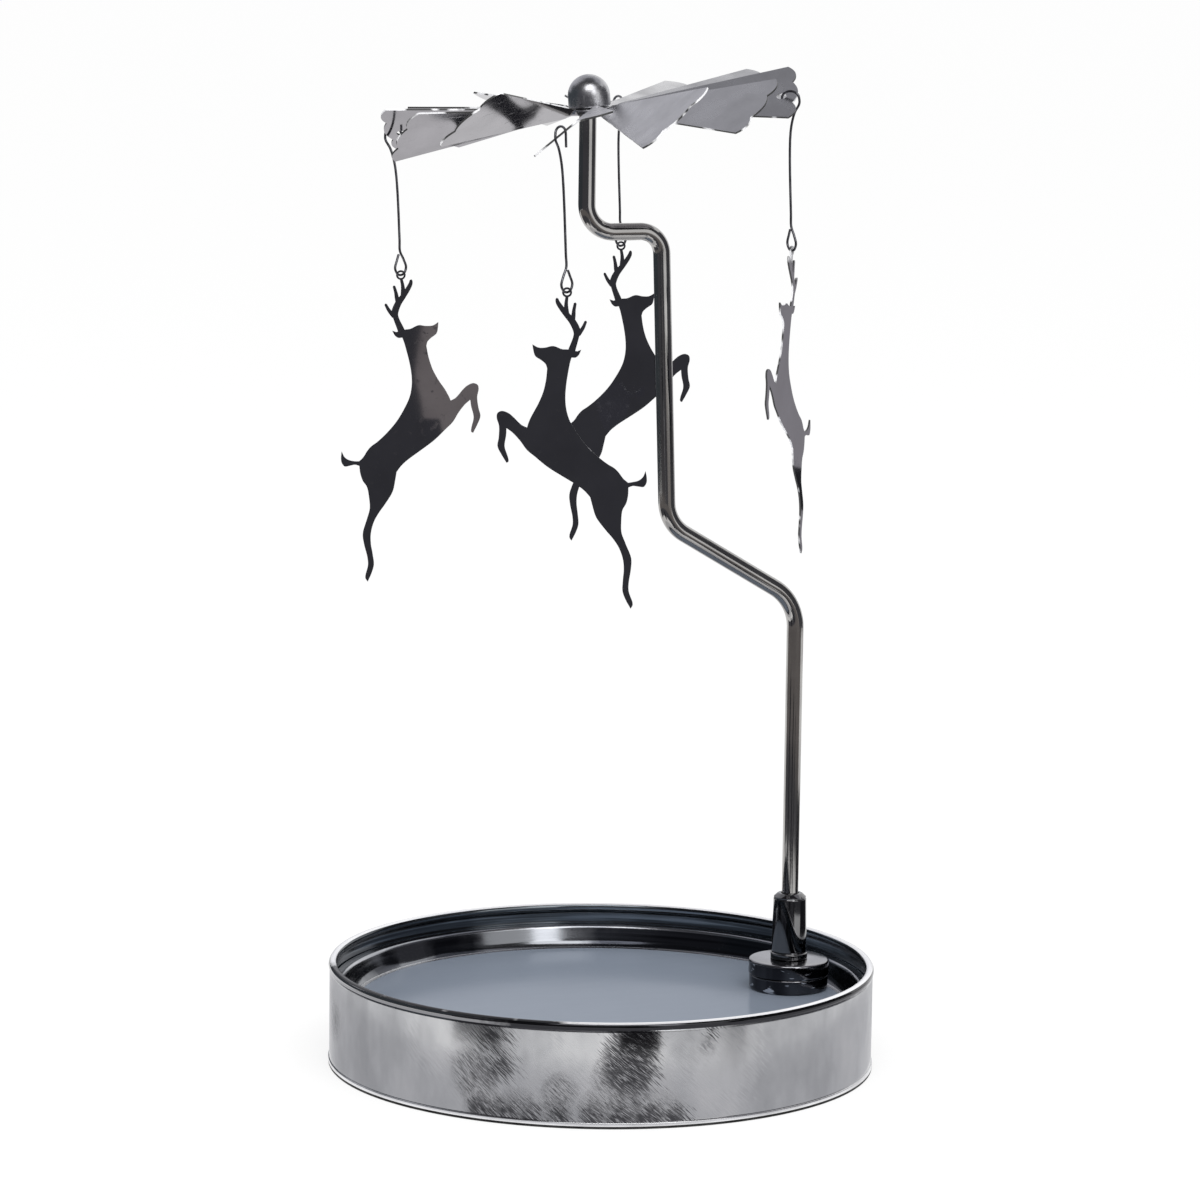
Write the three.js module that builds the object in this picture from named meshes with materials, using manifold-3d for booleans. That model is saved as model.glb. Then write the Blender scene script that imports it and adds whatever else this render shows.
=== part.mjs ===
// Rotating candle holder: a pressed tray on a rolled-rim base, a bent rod on a round foot,
// and a twelve-blade rotor that turns on a needle and carries four hanging reindeer.
// Millimetres, +Z up. Origin on the table, at the middle of the base. The rod bends in the XZ plane.

import * as THREE from 'three';
import { mergeVertices } from 'three/addons/utils/BufferGeometryUtils.js';
import Module from 'manifold-3d';

const wasm = await Module();
wasm.setup();

// Facets: how finely the round shapes are cut
const baseFacets = 64;
const footFacets = 40;
const hubFacets = 32;
const rodSides = 12;
const rodSteps = 84;
const wireSides = 6;
const wireSteps = 60;

// Running and seating clearances
const seatGap = 0.1;
const boreClearance = 0.08;
const wireRoom = 0.27;

// Base: outer wall, rolled rim and turned-in hem
const baseRadius = 45;
const baseWall = 0.6;
const rimTop = 17.05;
const rimBead = 1.4;
const hemWidth = 1.5;
const hemHeight = 1.3;
const hemCorner = 0.35;

// Tray: pressed dish inside the base
const traySheet = 0.5;
const ledgeDrop = 3.6;
const ledgeWidth = 1.6;
const trayDepth = 7.2;
const trayDraft = 0.9;
const trayFillet = 1.0;
const trayMouth = baseRadius - baseWall - seatGap - ledgeWidth;
const floorEdge = trayMouth - trayDraft - trayFillet;

// Foot: magnet, disc and tapered collar, set close to the edge of the tray's flat floor
const footInset = 0.2;
const discRadius = 6.75;
const discHeight = 2.5;
const magnetRadius = discRadius - 0.15;
const magnetHeight = 2.4;
const footX = floorEdge - footInset - discRadius;
const footEdge = 0.3;
const collarHeight = 11.1;
const collarBaseRadius = 3.1;
const collarTopRadius = 2.75;
const collarChamfer = 0.75;
const collarBeadHeight = 0.9;
const collarGroove = 0.18;

// Rod: one bent wire, corners listed from the foot to the needle
const rodRadius = 1.4;
const rodGrip = 1.6;
const lowerBendZ = 75.6;
const middleBendX = 10.55;
const middleBendZ = 89.35;
const upperBendX = 8.75;
const upperBendZ = 137.3;
const bendRadii = [8, 6.5, 3.8, 4.6];
const spinX = -4.3;

// Needle and hub cap
const pivotZ = 160.4;
const needleRadius = 0.55;
const needleLength = 5.6;
const needleCone = 1.5;
const needleStick = 3.1;
const capRadius = 3.4;
const capTop = 2.3;
const capSkirt = 2.9;
const capBore = 2.25;
const capSeat = 0.25;
const washerRadius = 3.6;
const washerHeight = 0.5;

// Rotor: one stamped sheet with bent blades, leaning on its needle
const leanAngle = 5.7;
const leanAzimuth = 175.5;
const sheet = 0.3;
const hubRadius = 4.8;
const bladeCount = 12;
const bladeRootLow = -0.35;
const bladeRootHigh = 1.25;
const bladeInset = 0.8;
const bladeReach = 32.8;
const bladeLow = -5.2;
const lobeWidths = [4.1, 5.9, 4.4];
const lobeBulge = 0.85;
const bladePitch = [18, 13, 12, 28, 33, 32, 34, 34, 35, 34, 29, 29];
const bladeLift = [0.7, -1.2, -3.3, -3.7, -6.4, -3.4, -3.5, 2.8, -1.2, -1.6, -1.5, -0.5];

// One blade's raised side is bent down again beyond a line along the blade
const curledBlade = 8;
const curlStart = 3.4;
const curlAngle = 25;
const curlOverlap = 0.1;

// Pendants: every third blade, as their blades' numbers. Their hooks all hang off the base's own
// upright by the same tilt, towards one side
const pendantBlades = [8, 11, 2, 5];
const tailDirection = [-21.7, 48, 158, 158];
const pendantTilt = [0.8, -2.5, -2.5, -5.5];
const plumbTilt = 2.5;
const plumbAzimuth = -21.7;
const eyeletInset = 1.85;
const eyeletHoleX = bladeReach - eyeletInset;
const eyeletHoleY = 0.8;
const eyeletHoleRadius = 0.8;
const hangX = eyeletHoleX + 1.05;
const hangY = 0.4;

// Hooks: thin wire through the blade's hole, over its edge, and down to an eye
const wireRadius = 0.2;
const hookLengths = [24.6, 24.4, 23.9, 22.8];
const hookInner = 1.1;
const hookOuter = 2;
const hookArchHeight = 1.1;
const hookTail = 2.2;
const hookTurn = -22;
const eyeWidth = 2.6;
const eyeHeight = 3.9;
const eyeTurn = 50;

// Reindeer: stamped sheet, hung by a ring on the antler
const ringRadius = 0.78;
const reindeerScale = 0.972;

// Colours
const chrome = { color: 0xb4b6ba, roughness: 0.22, metalness: 1 };
const brushed = { color: 0x9c9da1, roughness: 0.35, metalness: 1 };
const darkChrome = { color: 0x6f7074, roughness: 0.18, metalness: 1 };
const mirrorSheet = { color: 0xa3a3a8, roughness: 0.08, metalness: 1 };
const stampedSheet = { color: 0x3c3c42, roughness: 0.12, metalness: 1 };
const wireSteel = { color: 0x55565a, roughness: 0.3, metalness: 1 };

const degrees = THREE.MathUtils.degToRad;

// A welded copy of a geometry, without its empty triangles and with its faces pointing out
function closed(geometry) {
  const bare = geometry.clone();
  bare.deleteAttribute('normal');
  bare.deleteAttribute('uv');
  const welded = mergeVertices(bare, 1e-4);
  const place = welded.attributes.position;
  const corner = (i) => new THREE.Vector3().fromBufferAttribute(place, i);
  const triangles = [];
  let volume = 0;
  for (let i = 0; i < welded.index.count; i += 3) {
    const [a, b, c] = [0, 1, 2].map((k) => welded.index.getX(i + k));
    if (a === b || b === c || c === a) continue;
    triangles.push([a, b, c]);
    volume += corner(a).dot(corner(b).cross(corner(c)));
  }
  const order = volume < 0 ? triangles.map(([a, b, c]) => [a, c, b]) : triangles;
  welded.setIndex(order.flat());
  welded.computeVertexNormals();
  return welded;
}

function toSolid(geometry) {
  const body = closed(geometry);
  const vertProperties = new Float32Array(body.attributes.position.array);
  const triVerts = new Uint32Array(body.index.array);
  return new wasm.Manifold(new wasm.Mesh({ numProp: 3, vertProperties, triVerts }));
}

function fromSolid(solid) {
  const mesh = solid.getMesh();
  const geometry = new THREE.BufferGeometry();
  geometry.setAttribute('position', new THREE.BufferAttribute(new Float32Array(mesh.vertProperties), 3));
  geometry.setIndex(Array.from(mesh.triVerts));
  geometry.computeVertexNormals();
  return geometry;
}

function piece(name, geometry, finish) {
  const mesh = new THREE.Mesh(geometry, new THREE.MeshStandardMaterial(finish));
  mesh.name = name;
  return mesh;
}

// A body turned round Z from [radius, height] pairs
function turned(profile, segments) {
  const points = profile.map(([r, z]) => new THREE.Vector2(r, z));
  return closed(new THREE.LatheGeometry(points, segments).rotateX(Math.PI / 2));
}

// Points of an arc in a turned profile, from one angle to another in degrees
function arc(r, z, radius, from, to, steps) {
  const points = [];
  for (let i = 0; i <= steps; i++) {
    const angle = degrees(from + ((to - from) * i) / steps);
    points.push([r + radius * Math.cos(angle), z + radius * Math.sin(angle)]);
  }
  return points;
}

// A round bar along a curve
function bar(curve, radius, sides, steps) {
  const section = new THREE.Shape();
  for (let i = 0; i < sides; i++) {
    const angle = (2 * Math.PI * i) / sides;
    const point = [radius * Math.cos(angle), radius * Math.sin(angle)];
    if (i === 0) section.moveTo(...point);
    else section.lineTo(...point);
  }
  return closed(new THREE.ExtrudeGeometry(section, { extrudePath: curve, steps, bevelEnabled: false }));
}

// A flat sheet of the given outline, centred on its own plane
function flatSheet(shape, smoothness) {
  const plate = new THREE.ExtrudeGeometry(shape, {
    depth: sheet, bevelEnabled: false, curveSegments: smoothness,
  });
  return plate.translate(0, 0, -sheet / 2);
}

// Base wall: open ring with a rolled rim at the top and a turned-in hem at the foot
function baseSkirt() {
  const bead = rimBead / 2;
  const inner = baseRadius - baseWall;
  const hemInner = baseRadius - hemWidth;
  const profile = [
    [baseRadius - hemCorner, 0],
    ...arc(baseRadius - hemCorner, hemCorner, hemCorner, -60, 0, 2),
    ...arc(baseRadius - bead, rimTop - bead, bead, 0, 230, 7),
    [inner, rimTop - rimBead - 0.4],
    [inner, hemHeight + 0.4],
    [hemInner, hemHeight],
    [hemInner, hemCorner],
    [hemInner + hemCorner, 0],
    [baseRadius - hemCorner, 0],
  ];
  return turned(profile, baseFacets);
}

// Tray: outer flange on the hem, ledge, drafted wall and flat floor
function baseTray() {
  const flange = baseRadius - baseWall - seatGap;
  const ledgeZ = rimTop - ledgeDrop;
  const floorZ = rimTop - trayDepth;
  const floorRadius = trayMouth - trayDraft;
  const flangeFoot = hemHeight + 0.4 + seatGap;
  const profile = [
    [0, floorZ],
    [floorEdge, floorZ],
    ...arc(floorEdge, floorZ + trayFillet, trayFillet, -60, -15, 2),
    [trayMouth, ledgeZ],
    [flange, ledgeZ],
    [flange, flangeFoot],
    [flange - traySheet, flangeFoot],
    [flange - traySheet, ledgeZ - traySheet],
    [trayMouth + traySheet, ledgeZ - traySheet],
    [floorRadius + traySheet, floorZ + trayFillet / 2],
    [floorEdge + traySheet / 2, floorZ - traySheet],
    [0, floorZ - traySheet],
  ];
  return turned(profile, baseFacets);
}

const floorZ = rimTop - trayDepth;
const magnetZ = floorZ + seatGap;
const discZ = magnetZ + magnetHeight + seatGap;
const collarZ = discZ + discHeight + seatGap;
const rodFootZ = collarZ - rodGrip;

function footMagnet() {
  const profile = [
    [0, 0],
    [magnetRadius - footEdge, 0],
    [magnetRadius, footEdge],
    [magnetRadius, magnetHeight - footEdge / 2],
    [magnetRadius - footEdge / 2, magnetHeight],
    [0, magnetHeight],
  ];
  return turned(profile, footFacets);
}

function footDisc() {
  const bore = rodRadius + boreClearance;
  const profile = [
    [bore, 0],
    [discRadius - footEdge / 2, 0],
    [discRadius, footEdge / 2],
    [discRadius, discHeight - footEdge],
    [discRadius - footEdge, discHeight],
    [bore, discHeight],
    [bore, 0],
  ];
  return turned(profile, footFacets);
}

function rodCollar() {
  const bore = rodRadius + boreClearance;
  const neck = collarBaseRadius - collarGroove;
  const profile = [
    [bore, 0],
    [collarBaseRadius, 0],
    [collarBaseRadius, collarBeadHeight],
    [neck, collarBeadHeight + collarGroove],
    [collarTopRadius, collarHeight - collarChamfer],
    [collarTopRadius - collarChamfer, collarHeight],
    [bore, collarHeight],
    [bore, 0],
  ];
  return turned(profile, footFacets);
}

// The rod's centre line: straight stretches joined by round bends, drawn as X and Z
function rodPath() {
  const corners = [
    [footX, rodFootZ],
    [footX, lowerBendZ],
    [middleBendX, middleBendZ],
    [upperBendX, upperBendZ],
    [spinX, upperBendZ],
    [spinX, pivotZ - needleStick],
  ].map(([x, z]) => new THREE.Vector2(x, z));
  const path = new THREE.Path();
  path.moveTo(corners[0].x, corners[0].y);
  for (let i = 1; i < corners.length - 1; i++) {
    const before = corners[i].clone().sub(corners[i - 1]).normalize();
    const after = corners[i + 1].clone().sub(corners[i]).normalize();
    const turn = Math.atan2(before.cross(after), before.dot(after));
    const radius = bendRadii[i - 1];
    const reach = radius * Math.tan(Math.abs(turn) / 2);
    const start = corners[i].clone().addScaledVector(before, -reach);
    const side = new THREE.Vector2(-before.y, before.x).multiplyScalar(Math.sign(turn));
    const centre = start.clone().addScaledVector(side, radius);
    const from = Math.atan2(start.y - centre.y, start.x - centre.x);
    path.lineTo(start.x, start.y);
    path.absarc(centre.x, centre.y, radius, from, from + turn, turn < 0);
  }
  const last = corners[corners.length - 1];
  path.lineTo(last.x, last.y);
  return path;
}

class UprightCurve extends THREE.Curve {
  constructor(path) {
    super();
    this.path = path;
  }

  getPoint(t) {
    const point = this.path.getPoint(t);
    return new THREE.Vector3(point.x, 0, point.y);
  }
}

// Rod: the bent wire, drilled at its top for the needle
function rod() {
  const wire = toSolid(bar(new UprightCurve(rodPath()), rodRadius, rodSides, rodSteps));
  const depth = needleLength - needleStick + seatGap;
  const drill = new THREE.CylinderGeometry(
    needleRadius + boreClearance, needleRadius + boreClearance, 2 * depth, 16,
  );
  drill.rotateX(Math.PI / 2).translate(spinX, 0, pivotZ - needleStick);
  return fromSolid(wire.subtract(toSolid(drill)));
}

// Needle, with its point at its own origin
function pivotNeedle() {
  const profile = [
    [0, -needleLength],
    [needleRadius, -needleLength],
    [needleRadius, -needleCone],
    [0, 0],
  ];
  return turned(profile, 16);
}

// Hub cap: domed thimble whose inside ends in a cone over the needle's point
function hubCap() {
  const domeZ = capTop - capRadius;
  const profile = [
    [capBore, -capSkirt],
    [capRadius, -capSkirt],
    ...arc(0, domeZ, capRadius, 0, 90, 7),
    [0, capSeat],
    [capBore, capSeat - capBore * 0.6],
    [capBore, -capSkirt],
  ];
  return turned(profile, hubFacets);
}

function hubWasher() {
  const profile = [
    [capBore, 0],
    [washerRadius, 0],
    [washerRadius, washerHeight / 2],
    [washerRadius - 0.4, washerHeight],
    [capBore, washerHeight],
    [capBore, 0],
  ];
  return turned(profile, hubFacets);
}

// Heights inside the rotor, below the needle's point
const washerTop = -capSkirt - seatGap;
const rotorSheetZ = washerTop - washerHeight - seatGap - sheet / 2;

// One blade in its own plane: X out from the hub, Y across towards its raised edge
function bladeShape() {
  const shape = new THREE.Shape();
  const onTip = (y) => [Math.sqrt(bladeReach ** 2 - y ** 2), y];
  shape.moveTo(hubRadius - bladeInset, bladeRootLow);
  let y = bladeLow;
  shape.lineTo(...onTip(y));
  for (const width of lobeWidths) {
    const middle = y + width / 2;
    const angle = Math.atan2(middle, bladeReach);
    const crown = bladeReach + 2 * lobeBulge;
    y += width;
    shape.quadraticCurveTo(crown * Math.cos(angle), crown * Math.sin(angle), ...onTip(y));
  }
  shape.lineTo(hubRadius - bladeInset, bladeRootHigh);
  return shape;
}

// Where a blade lies in the rotor: twisted to its pitch, bent up or down at the hub's edge,
// then turned to its place
function bladePlace(i) {
  const turn = new THREE.Matrix4().makeRotationZ((2 * Math.PI * i) / bladeCount);
  const bend = new THREE.Matrix4().makeTranslation(hubRadius, 0, 0);
  bend.multiply(new THREE.Matrix4().makeRotationY(-degrees(bladeLift[i])));
  bend.multiply(new THREE.Matrix4().makeTranslation(-hubRadius, 0, 0));
  const pitch = new THREE.Matrix4().makeRotationX(degrees(bladePitch[i]));
  return turn.multiply(bend).multiply(pitch);
}

// Bends a flat blade down beyond its curl line
function curled(blade) {
  const [, kept] = blade.splitByPlane([0, 1, 0], curlStart);
  const [side] = blade.splitByPlane([0, 1, 0], curlStart - curlOverlap);
  const bent = side.translate([0, -curlStart, 0]).rotate([-curlAngle, 0, 0]).translate([0, curlStart, 0]);
  return kept.add(bent);
}

function rotorSheet() {
  const disc = new THREE.CylinderGeometry(hubRadius, hubRadius, sheet, 48).rotateX(Math.PI / 2);
  let body = toSolid(disc);
  for (let i = 0; i < bladeCount; i++) {
    const flat = toSolid(flatSheet(bladeShape(), 4));
    const blade = i === curledBlade ? curled(flat) : flat;
    body = body.add(blade.transform(bladePlace(i).elements));
  }
  const bore = new THREE.CylinderGeometry(capBore, capBore, 4 * sheet, 40).rotateX(Math.PI / 2);
  body = body.subtract(toSolid(bore));
  for (const i of pendantBlades) {
    const punch = new THREE.CylinderGeometry(eyeletHoleRadius, eyeletHoleRadius, 4 * sheet, 20);
    punch.rotateX(Math.PI / 2).translate(eyeletHoleX, eyeletHoleY, 0).applyMatrix4(bladePlace(i));
    body = body.subtract(toSolid(punch));
  }
  return fromSolid(body);
}

// Hook, resting on the blade at its own origin, X away from the hub: its short end goes down
// through the hole, its long end passes outside the edge and hangs back under the origin
function hook(eyeAzimuth, length) {
  const across = new THREE.Vector3(Math.cos(degrees(hookTurn)), Math.sin(degrees(hookTurn)), 0);
  const eyeSide = new THREE.Vector3(Math.cos(eyeAzimuth), Math.sin(eyeAzimuth), 0);
  const at = (side, reach, z) => side.clone().multiplyScalar(reach).setZ(z);
  const archMiddle = (hookOuter - hookInner) / 2;
  const archReach = (hookOuter + hookInner) / 2;
  const points = [at(across, -hookInner, -hookTail), at(across, -hookInner, -hookTail / 2)];
  for (let i = 0; i <= 6; i++) {
    const angle = Math.PI * (1 - i / 6);
    points.push(at(across, archMiddle + archReach * Math.cos(angle), hookArchHeight * Math.sin(angle)));
  }
  for (const [share, z] of [[1, -0.9], [0.55, -2.4], [0.15, -5.5]]) points.push(at(across, share * hookOuter, z));
  const low = -length;
  const half = eyeWidth / 2;
  points.push(
    at(eyeSide, 0, low + 1.5 * eyeHeight),
    at(eyeSide, 0, low + eyeHeight),
    at(eyeSide, -0.6 * half, low + 0.64 * eyeHeight),
    at(eyeSide, -half, low + 0.3 * eyeHeight),
    at(eyeSide, -0.6 * half, low + 0.06 * eyeHeight),
    at(eyeSide, 0, low),
    at(eyeSide, 0.6 * half, low + 0.06 * eyeHeight),
    at(eyeSide, half, low + 0.3 * eyeHeight),
    at(eyeSide, 0.6 * half, low + 0.64 * eyeHeight),
    at(eyeSide, 0.28 * half, low + 0.86 * eyeHeight),
  );
  return bar(new THREE.CatmullRomCurve3(points, false, 'centripetal'), wireRadius, wireSides, wireSteps);
}

// Reindeer outline, ring at the origin, snout towards -X, as smooth strokes that meet at corners
const bodyStrokes = [
  [[1, -9.3], [0.1, -9.15], [-0.8, -9.1], [-2.2, -8.6], [-3.5, -8.85], [-4.6, -8.85], [-5.55, -8.35]],
  [[-5.4, -9.3], [-5.1, -10.2], [-4.1, -10.9], [-3.45, -11.5], [-3.2, -12.2]],
  [[-3.4, -14.05], [-3.85, -16], [-4.65, -17.9], [-5.75, -19.9], [-6.2, -20.9], [-6.45, -21.7]],
  [[-7.3, -21.3], [-8.7, -19.95], [-9.5, -19.35], [-10.5, -19.05], [-11.2, -19.4], [-11.3, -20.15],
    [-10.95, -21.4], [-11, -23.3], [-11.2, -24.7], [-10.6, -26], [-9.75, -27.4]],
  [[-9.45, -27.2], [-9.5, -26.6], [-10, -25.1], [-10.05, -24.4], [-9.8, -22.9], [-9.75, -21.8]],
  [[-8.8, -22.5], [-7.6, -23.8], [-6.5, -25.3], [-5.2, -26.4], [-3.2, -28.05], [-0.6, -29.7],
    [1.45, -30.95], [2.7, -31.9], [3.65, -32.95]],
  [[4, -34.3], [4.6, -36.2], [6.05, -38.2], [7.35, -39.75], [8.25, -41.15], [8.9, -43], [9.05, -44.65],
    [8.9, -46.5], [8.85, -48.25], [9.35, -49.65], [10.15, -51.1]],
  [[10.5, -50.4], [9.85, -48.25], [9.85, -46.85], [10.2, -44.65], [10.25, -42.9], [9.3, -40.4],
    [8.7, -38.75], [8.65, -36.9], [8.85, -35.05], [9.45, -33.95], [9.75, -32.65], [9.8, -31.4]],
  [[10.5, -31.15], [11.4, -31.25], [12.25, -31.3], [12.7, -30.65], [12.75, -29.9], [12.55, -28.75]],
  [[12.15, -29.7], [11.5, -30.25], [10.5, -30.55], [9.75, -30.65]],
  [[9, -30], [8.25, -29], [7.6, -28.35], [6.4, -27.6], [4.75, -26.3], [2.9, -24.45], [1.45, -22.45],
    [0.35, -20.5], [-0.15, -18.75], [-0.3, -17], [-0.15, -14.8], [0.2, -12.6], [0.5, -11.1], [0.7, -10.45]],
  [[1.35, -10.45], [1.85, -10.05], [2.25, -9.2]],
  [[1.6, -9.45]],
];

// Antler branches as [x, z, width] down the middle of each, from its tip or ring
const antlerBranches = [
  [[-1.62, -1.03, 0.46], [-1.5, -1.55, 0.66], [-0.95, -2.45, 0.78], [-0.05, -3.6, 0.9], [0.9, -4.75, 1.08],
    [1.55, -6.2, 1.14], [1.45, -7.1, 0.92], [0.7, -9.4, 1.15]],
  [[0, -0.6, 0.46], [-0.15, -1.9, 0.6], [-0.1, -3.5, 0.9]],
  [[1.3, -1.8, 0.46], [1.1, -2.8, 0.56], [1, -3.8, 0.7], [0.85, -4.7, 0.8]],
  [[2.98, -4.7, 0.42], [2.5, -5.75, 0.58], [1.75, -6.8, 0.76]],
];

// A branch as a shape: its middle line widened to both sides, with a blunt tip
function branchShape(branch) {
  const along = branch.map(([x, z]) => new THREE.Vector2(x, z));
  const line = new THREE.SplineCurve(along);
  const left = [];
  const right = [];
  const steps = 2 * (branch.length - 1);
  for (let i = 0; i <= steps; i++) {
    const t = i / steps;
    const place = t * (branch.length - 1);
    const low = Math.min(Math.floor(place), branch.length - 2);
    const width = THREE.MathUtils.lerp(branch[low][2], branch[low + 1][2], place - low);
    const middle = line.getPoint(t);
    const heading = line.getTangent(t);
    const side = new THREE.Vector2(-heading.y, heading.x).multiplyScalar(width / 2);
    left.push(middle.clone().add(side));
    right.unshift(middle.clone().sub(side));
  }
  return new THREE.Shape([...left, ...right]);
}

function bodyShape() {
  const shape = new THREE.Shape();
  const start = bodyStrokes[0][0];
  shape.moveTo(...start);
  bodyStrokes.forEach((stroke, i) => {
    const rest = i === 0 ? stroke.slice(1) : stroke;
    if (rest.length === 1) shape.lineTo(...rest[0]);
    else shape.splineThru(rest.map(([x, z]) => new THREE.Vector2(x, z)));
  });
  return shape;
}

// Reindeer, standing in the XZ plane with its ring at its own origin and its tail towards +X
function reindeer() {
  const holeRadius = wireRadius + wireRoom;
  let body = toSolid(flatSheet(bodyShape(), 1));
  for (const branch of antlerBranches) body = body.add(toSolid(flatSheet(branchShape(branch), 1)));
  body = body.scale([reindeerScale, reindeerScale, 1]);
  const ring = new THREE.CylinderGeometry(ringRadius, ringRadius, sheet, 24).rotateX(Math.PI / 2);
  const hole = new THREE.CylinderGeometry(holeRadius, holeRadius, 4 * sheet, 20).rotateX(Math.PI / 2);
  body = body.add(toSolid(ring)).subtract(toSolid(hole));
  return fromSolid(body).rotateX(Math.PI / 2);
}

// Turns the rotor's upright pose into its lean about the needle's point
function leanTurn() {
  const low = degrees(leanAzimuth);
  const axis = new THREE.Vector3(-Math.sin(low), Math.cos(low), 0);
  return new THREE.Quaternion().setFromAxisAngle(axis, degrees(leanAngle));
}

// Turns a hook from the base's upright to the way it hangs
function plumbTurn() {
  const side = degrees(plumbAzimuth);
  const axis = new THREE.Vector3(Math.sin(side), -Math.cos(side), 0);
  return new THREE.Quaternion().setFromAxisAngle(axis, degrees(plumbTilt));
}

// Where a hook rests on its blade, in the object's frame
function hangPoint(i) {
  const point = new THREE.Vector3(hangX, hangY, 0).applyMatrix4(bladePlace(i));
  point.z += rotorSheetZ;
  return point.applyQuaternion(leanTurn()).add(new THREE.Vector3(spinX, 0, pivotZ));
}

const holder = new THREE.Group();

const base = new THREE.Group();
base.add(piece('base_skirt', baseSkirt(), brushed));
base.add(piece('base_tray', baseTray(), chrome));
holder.add(base);

const stand = new THREE.Group();
for (const [name, geometry, z] of [
  ['foot_magnet', footMagnet(), magnetZ],
  ['foot_disc', footDisc(), discZ],
  ['rod_collar', rodCollar(), collarZ],
]) {
  const mesh = piece(name, geometry, darkChrome);
  mesh.position.set(footX, 0, z);
  stand.add(mesh);
}
stand.add(piece('rod', rod(), darkChrome));
const needle = piece('pivot_needle', pivotNeedle(), chrome);
needle.position.set(spinX, 0, pivotZ);
stand.add(needle);
holder.add(stand);

const rotor = new THREE.Group();
rotor.position.set(spinX, 0, pivotZ);
rotor.quaternion.copy(leanTurn());
rotor.add(piece('hub_cap', hubCap(), brushed));
const washer = piece('hub_washer', hubWasher(), brushed);
washer.position.z = washerTop - washerHeight;
rotor.add(washer);
const blades = piece('rotor_sheet', rotorSheet(), mirrorSheet);
blades.position.z = rotorSheetZ;
rotor.add(blades);
holder.add(rotor);

pendantBlades.forEach((blade, i) => {
  const outward = (2 * Math.PI * blade) / bladeCount;
  const tail = degrees(tailDirection[i]);
  const pendant = new THREE.Group();
  pendant.position.copy(hangPoint(blade));
  const wire = piece(`hook_${i + 1}`, hook(tail - outward + degrees(eyeTurn), hookLengths[i]), wireSteel);
  wire.rotation.z = outward;
  wire.quaternion.premultiply(plumbTurn());
  pendant.add(wire);
  const figure = piece(`reindeer_${i + 1}`, reindeer(), stampedSheet);
  figure.position.set(0, 0, -hookLengths[i]).applyQuaternion(plumbTurn());
  figure.rotation.set(0, -degrees(pendantTilt[i]), tail, 'ZYX');
  pendant.add(figure);
  holder.add(pendant);
});

export default holder;
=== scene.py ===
# Rotating candle holder, dressed: a plated tray base, a bent chrome rod on a round foot, and a
# mirror-sheet rotor on a needle that carries four hanging reindeer.
# Lengths are written in millimetres and become metres where a mesh is made.
import bmesh
import bpy
import math
from mathutils import Matrix, Vector
from mathutils.geometry import delaunay_2d_cdt

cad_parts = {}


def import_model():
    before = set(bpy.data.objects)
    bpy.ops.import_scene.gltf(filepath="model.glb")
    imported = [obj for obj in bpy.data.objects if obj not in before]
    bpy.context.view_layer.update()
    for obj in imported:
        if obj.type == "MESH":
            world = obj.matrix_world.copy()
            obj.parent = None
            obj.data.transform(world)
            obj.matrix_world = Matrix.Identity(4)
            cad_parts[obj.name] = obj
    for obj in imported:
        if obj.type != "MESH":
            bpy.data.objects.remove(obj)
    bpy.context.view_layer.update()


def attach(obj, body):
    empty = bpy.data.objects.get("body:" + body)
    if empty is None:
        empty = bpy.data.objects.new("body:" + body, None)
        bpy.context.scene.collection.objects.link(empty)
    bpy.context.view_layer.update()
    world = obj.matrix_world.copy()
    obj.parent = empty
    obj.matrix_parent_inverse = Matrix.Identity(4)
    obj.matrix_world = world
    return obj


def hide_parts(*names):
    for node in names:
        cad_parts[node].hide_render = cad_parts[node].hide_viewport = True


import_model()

MM = 0.001
SMOOTH_ANGLE = 35
ROUND_SMOOTH_ANGLE = 60
STAR_SMOOTH_ANGLE = 40
FIGURE_SMOOTH_ANGLE = 30

# The most of a profile's side that a rounded corner takes
CORNER_SHARE = 0.48

# Base and tray
BASE_RADIUS = 45
WALL_RADIUS = 44.82
WALL_SHEET = 0.42
RIM_TOP = 17.05
RIM_BEAD = 0.7
RIM_START = -50
RIM_SWEEP = 280
RIM_STEPS = 12
RIM_SIDE_STEPS = 4
RIM_CREST_STEPS = 8
HEM_WIDTH = 1.5
HEM_HEIGHT = 1.3
LEDGE_Z = 13.45
FLOOR_Z = 9.85
TRAY_FLANGE = 44.3
TRAY_MOUTH = 42.7
FLOOR_EDGE = 40.8
TRAY_SHEET = 0.5

# Foot and rod
FOOT_X = 33.85
MAGNET_Z = 9.95
MAGNET_RADIUS = 6.6
MAGNET_HEIGHT = 2.4
DISC_Z = 12.45
DISC_RADIUS = 6.75
DISC_HEIGHT = 2.5
COLLAR_Z = 15.05
COLLAR_HEIGHT = 11.1
COLLAR_BASE_RADIUS = 3.1
COLLAR_TOP_RADIUS = 2.75
ROD_RADIUS = 1.4
ROD_FOOT_Z = 13.45
ROD_JOG_Z = 137.3
ROD_TOP_Z = 157.3
SPIN_X = -4.3
ROD_CORNERS = [
    (FOOT_X, ROD_FOOT_Z), (FOOT_X, 75.6), (10.55, 89.35), (8.75, ROD_JOG_Z), (SPIN_X, ROD_JOG_Z),
    (SPIN_X, ROD_TOP_Z),
]
ROD_BENDS = [8, 6.5, 3.8, 4.6]

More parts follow.
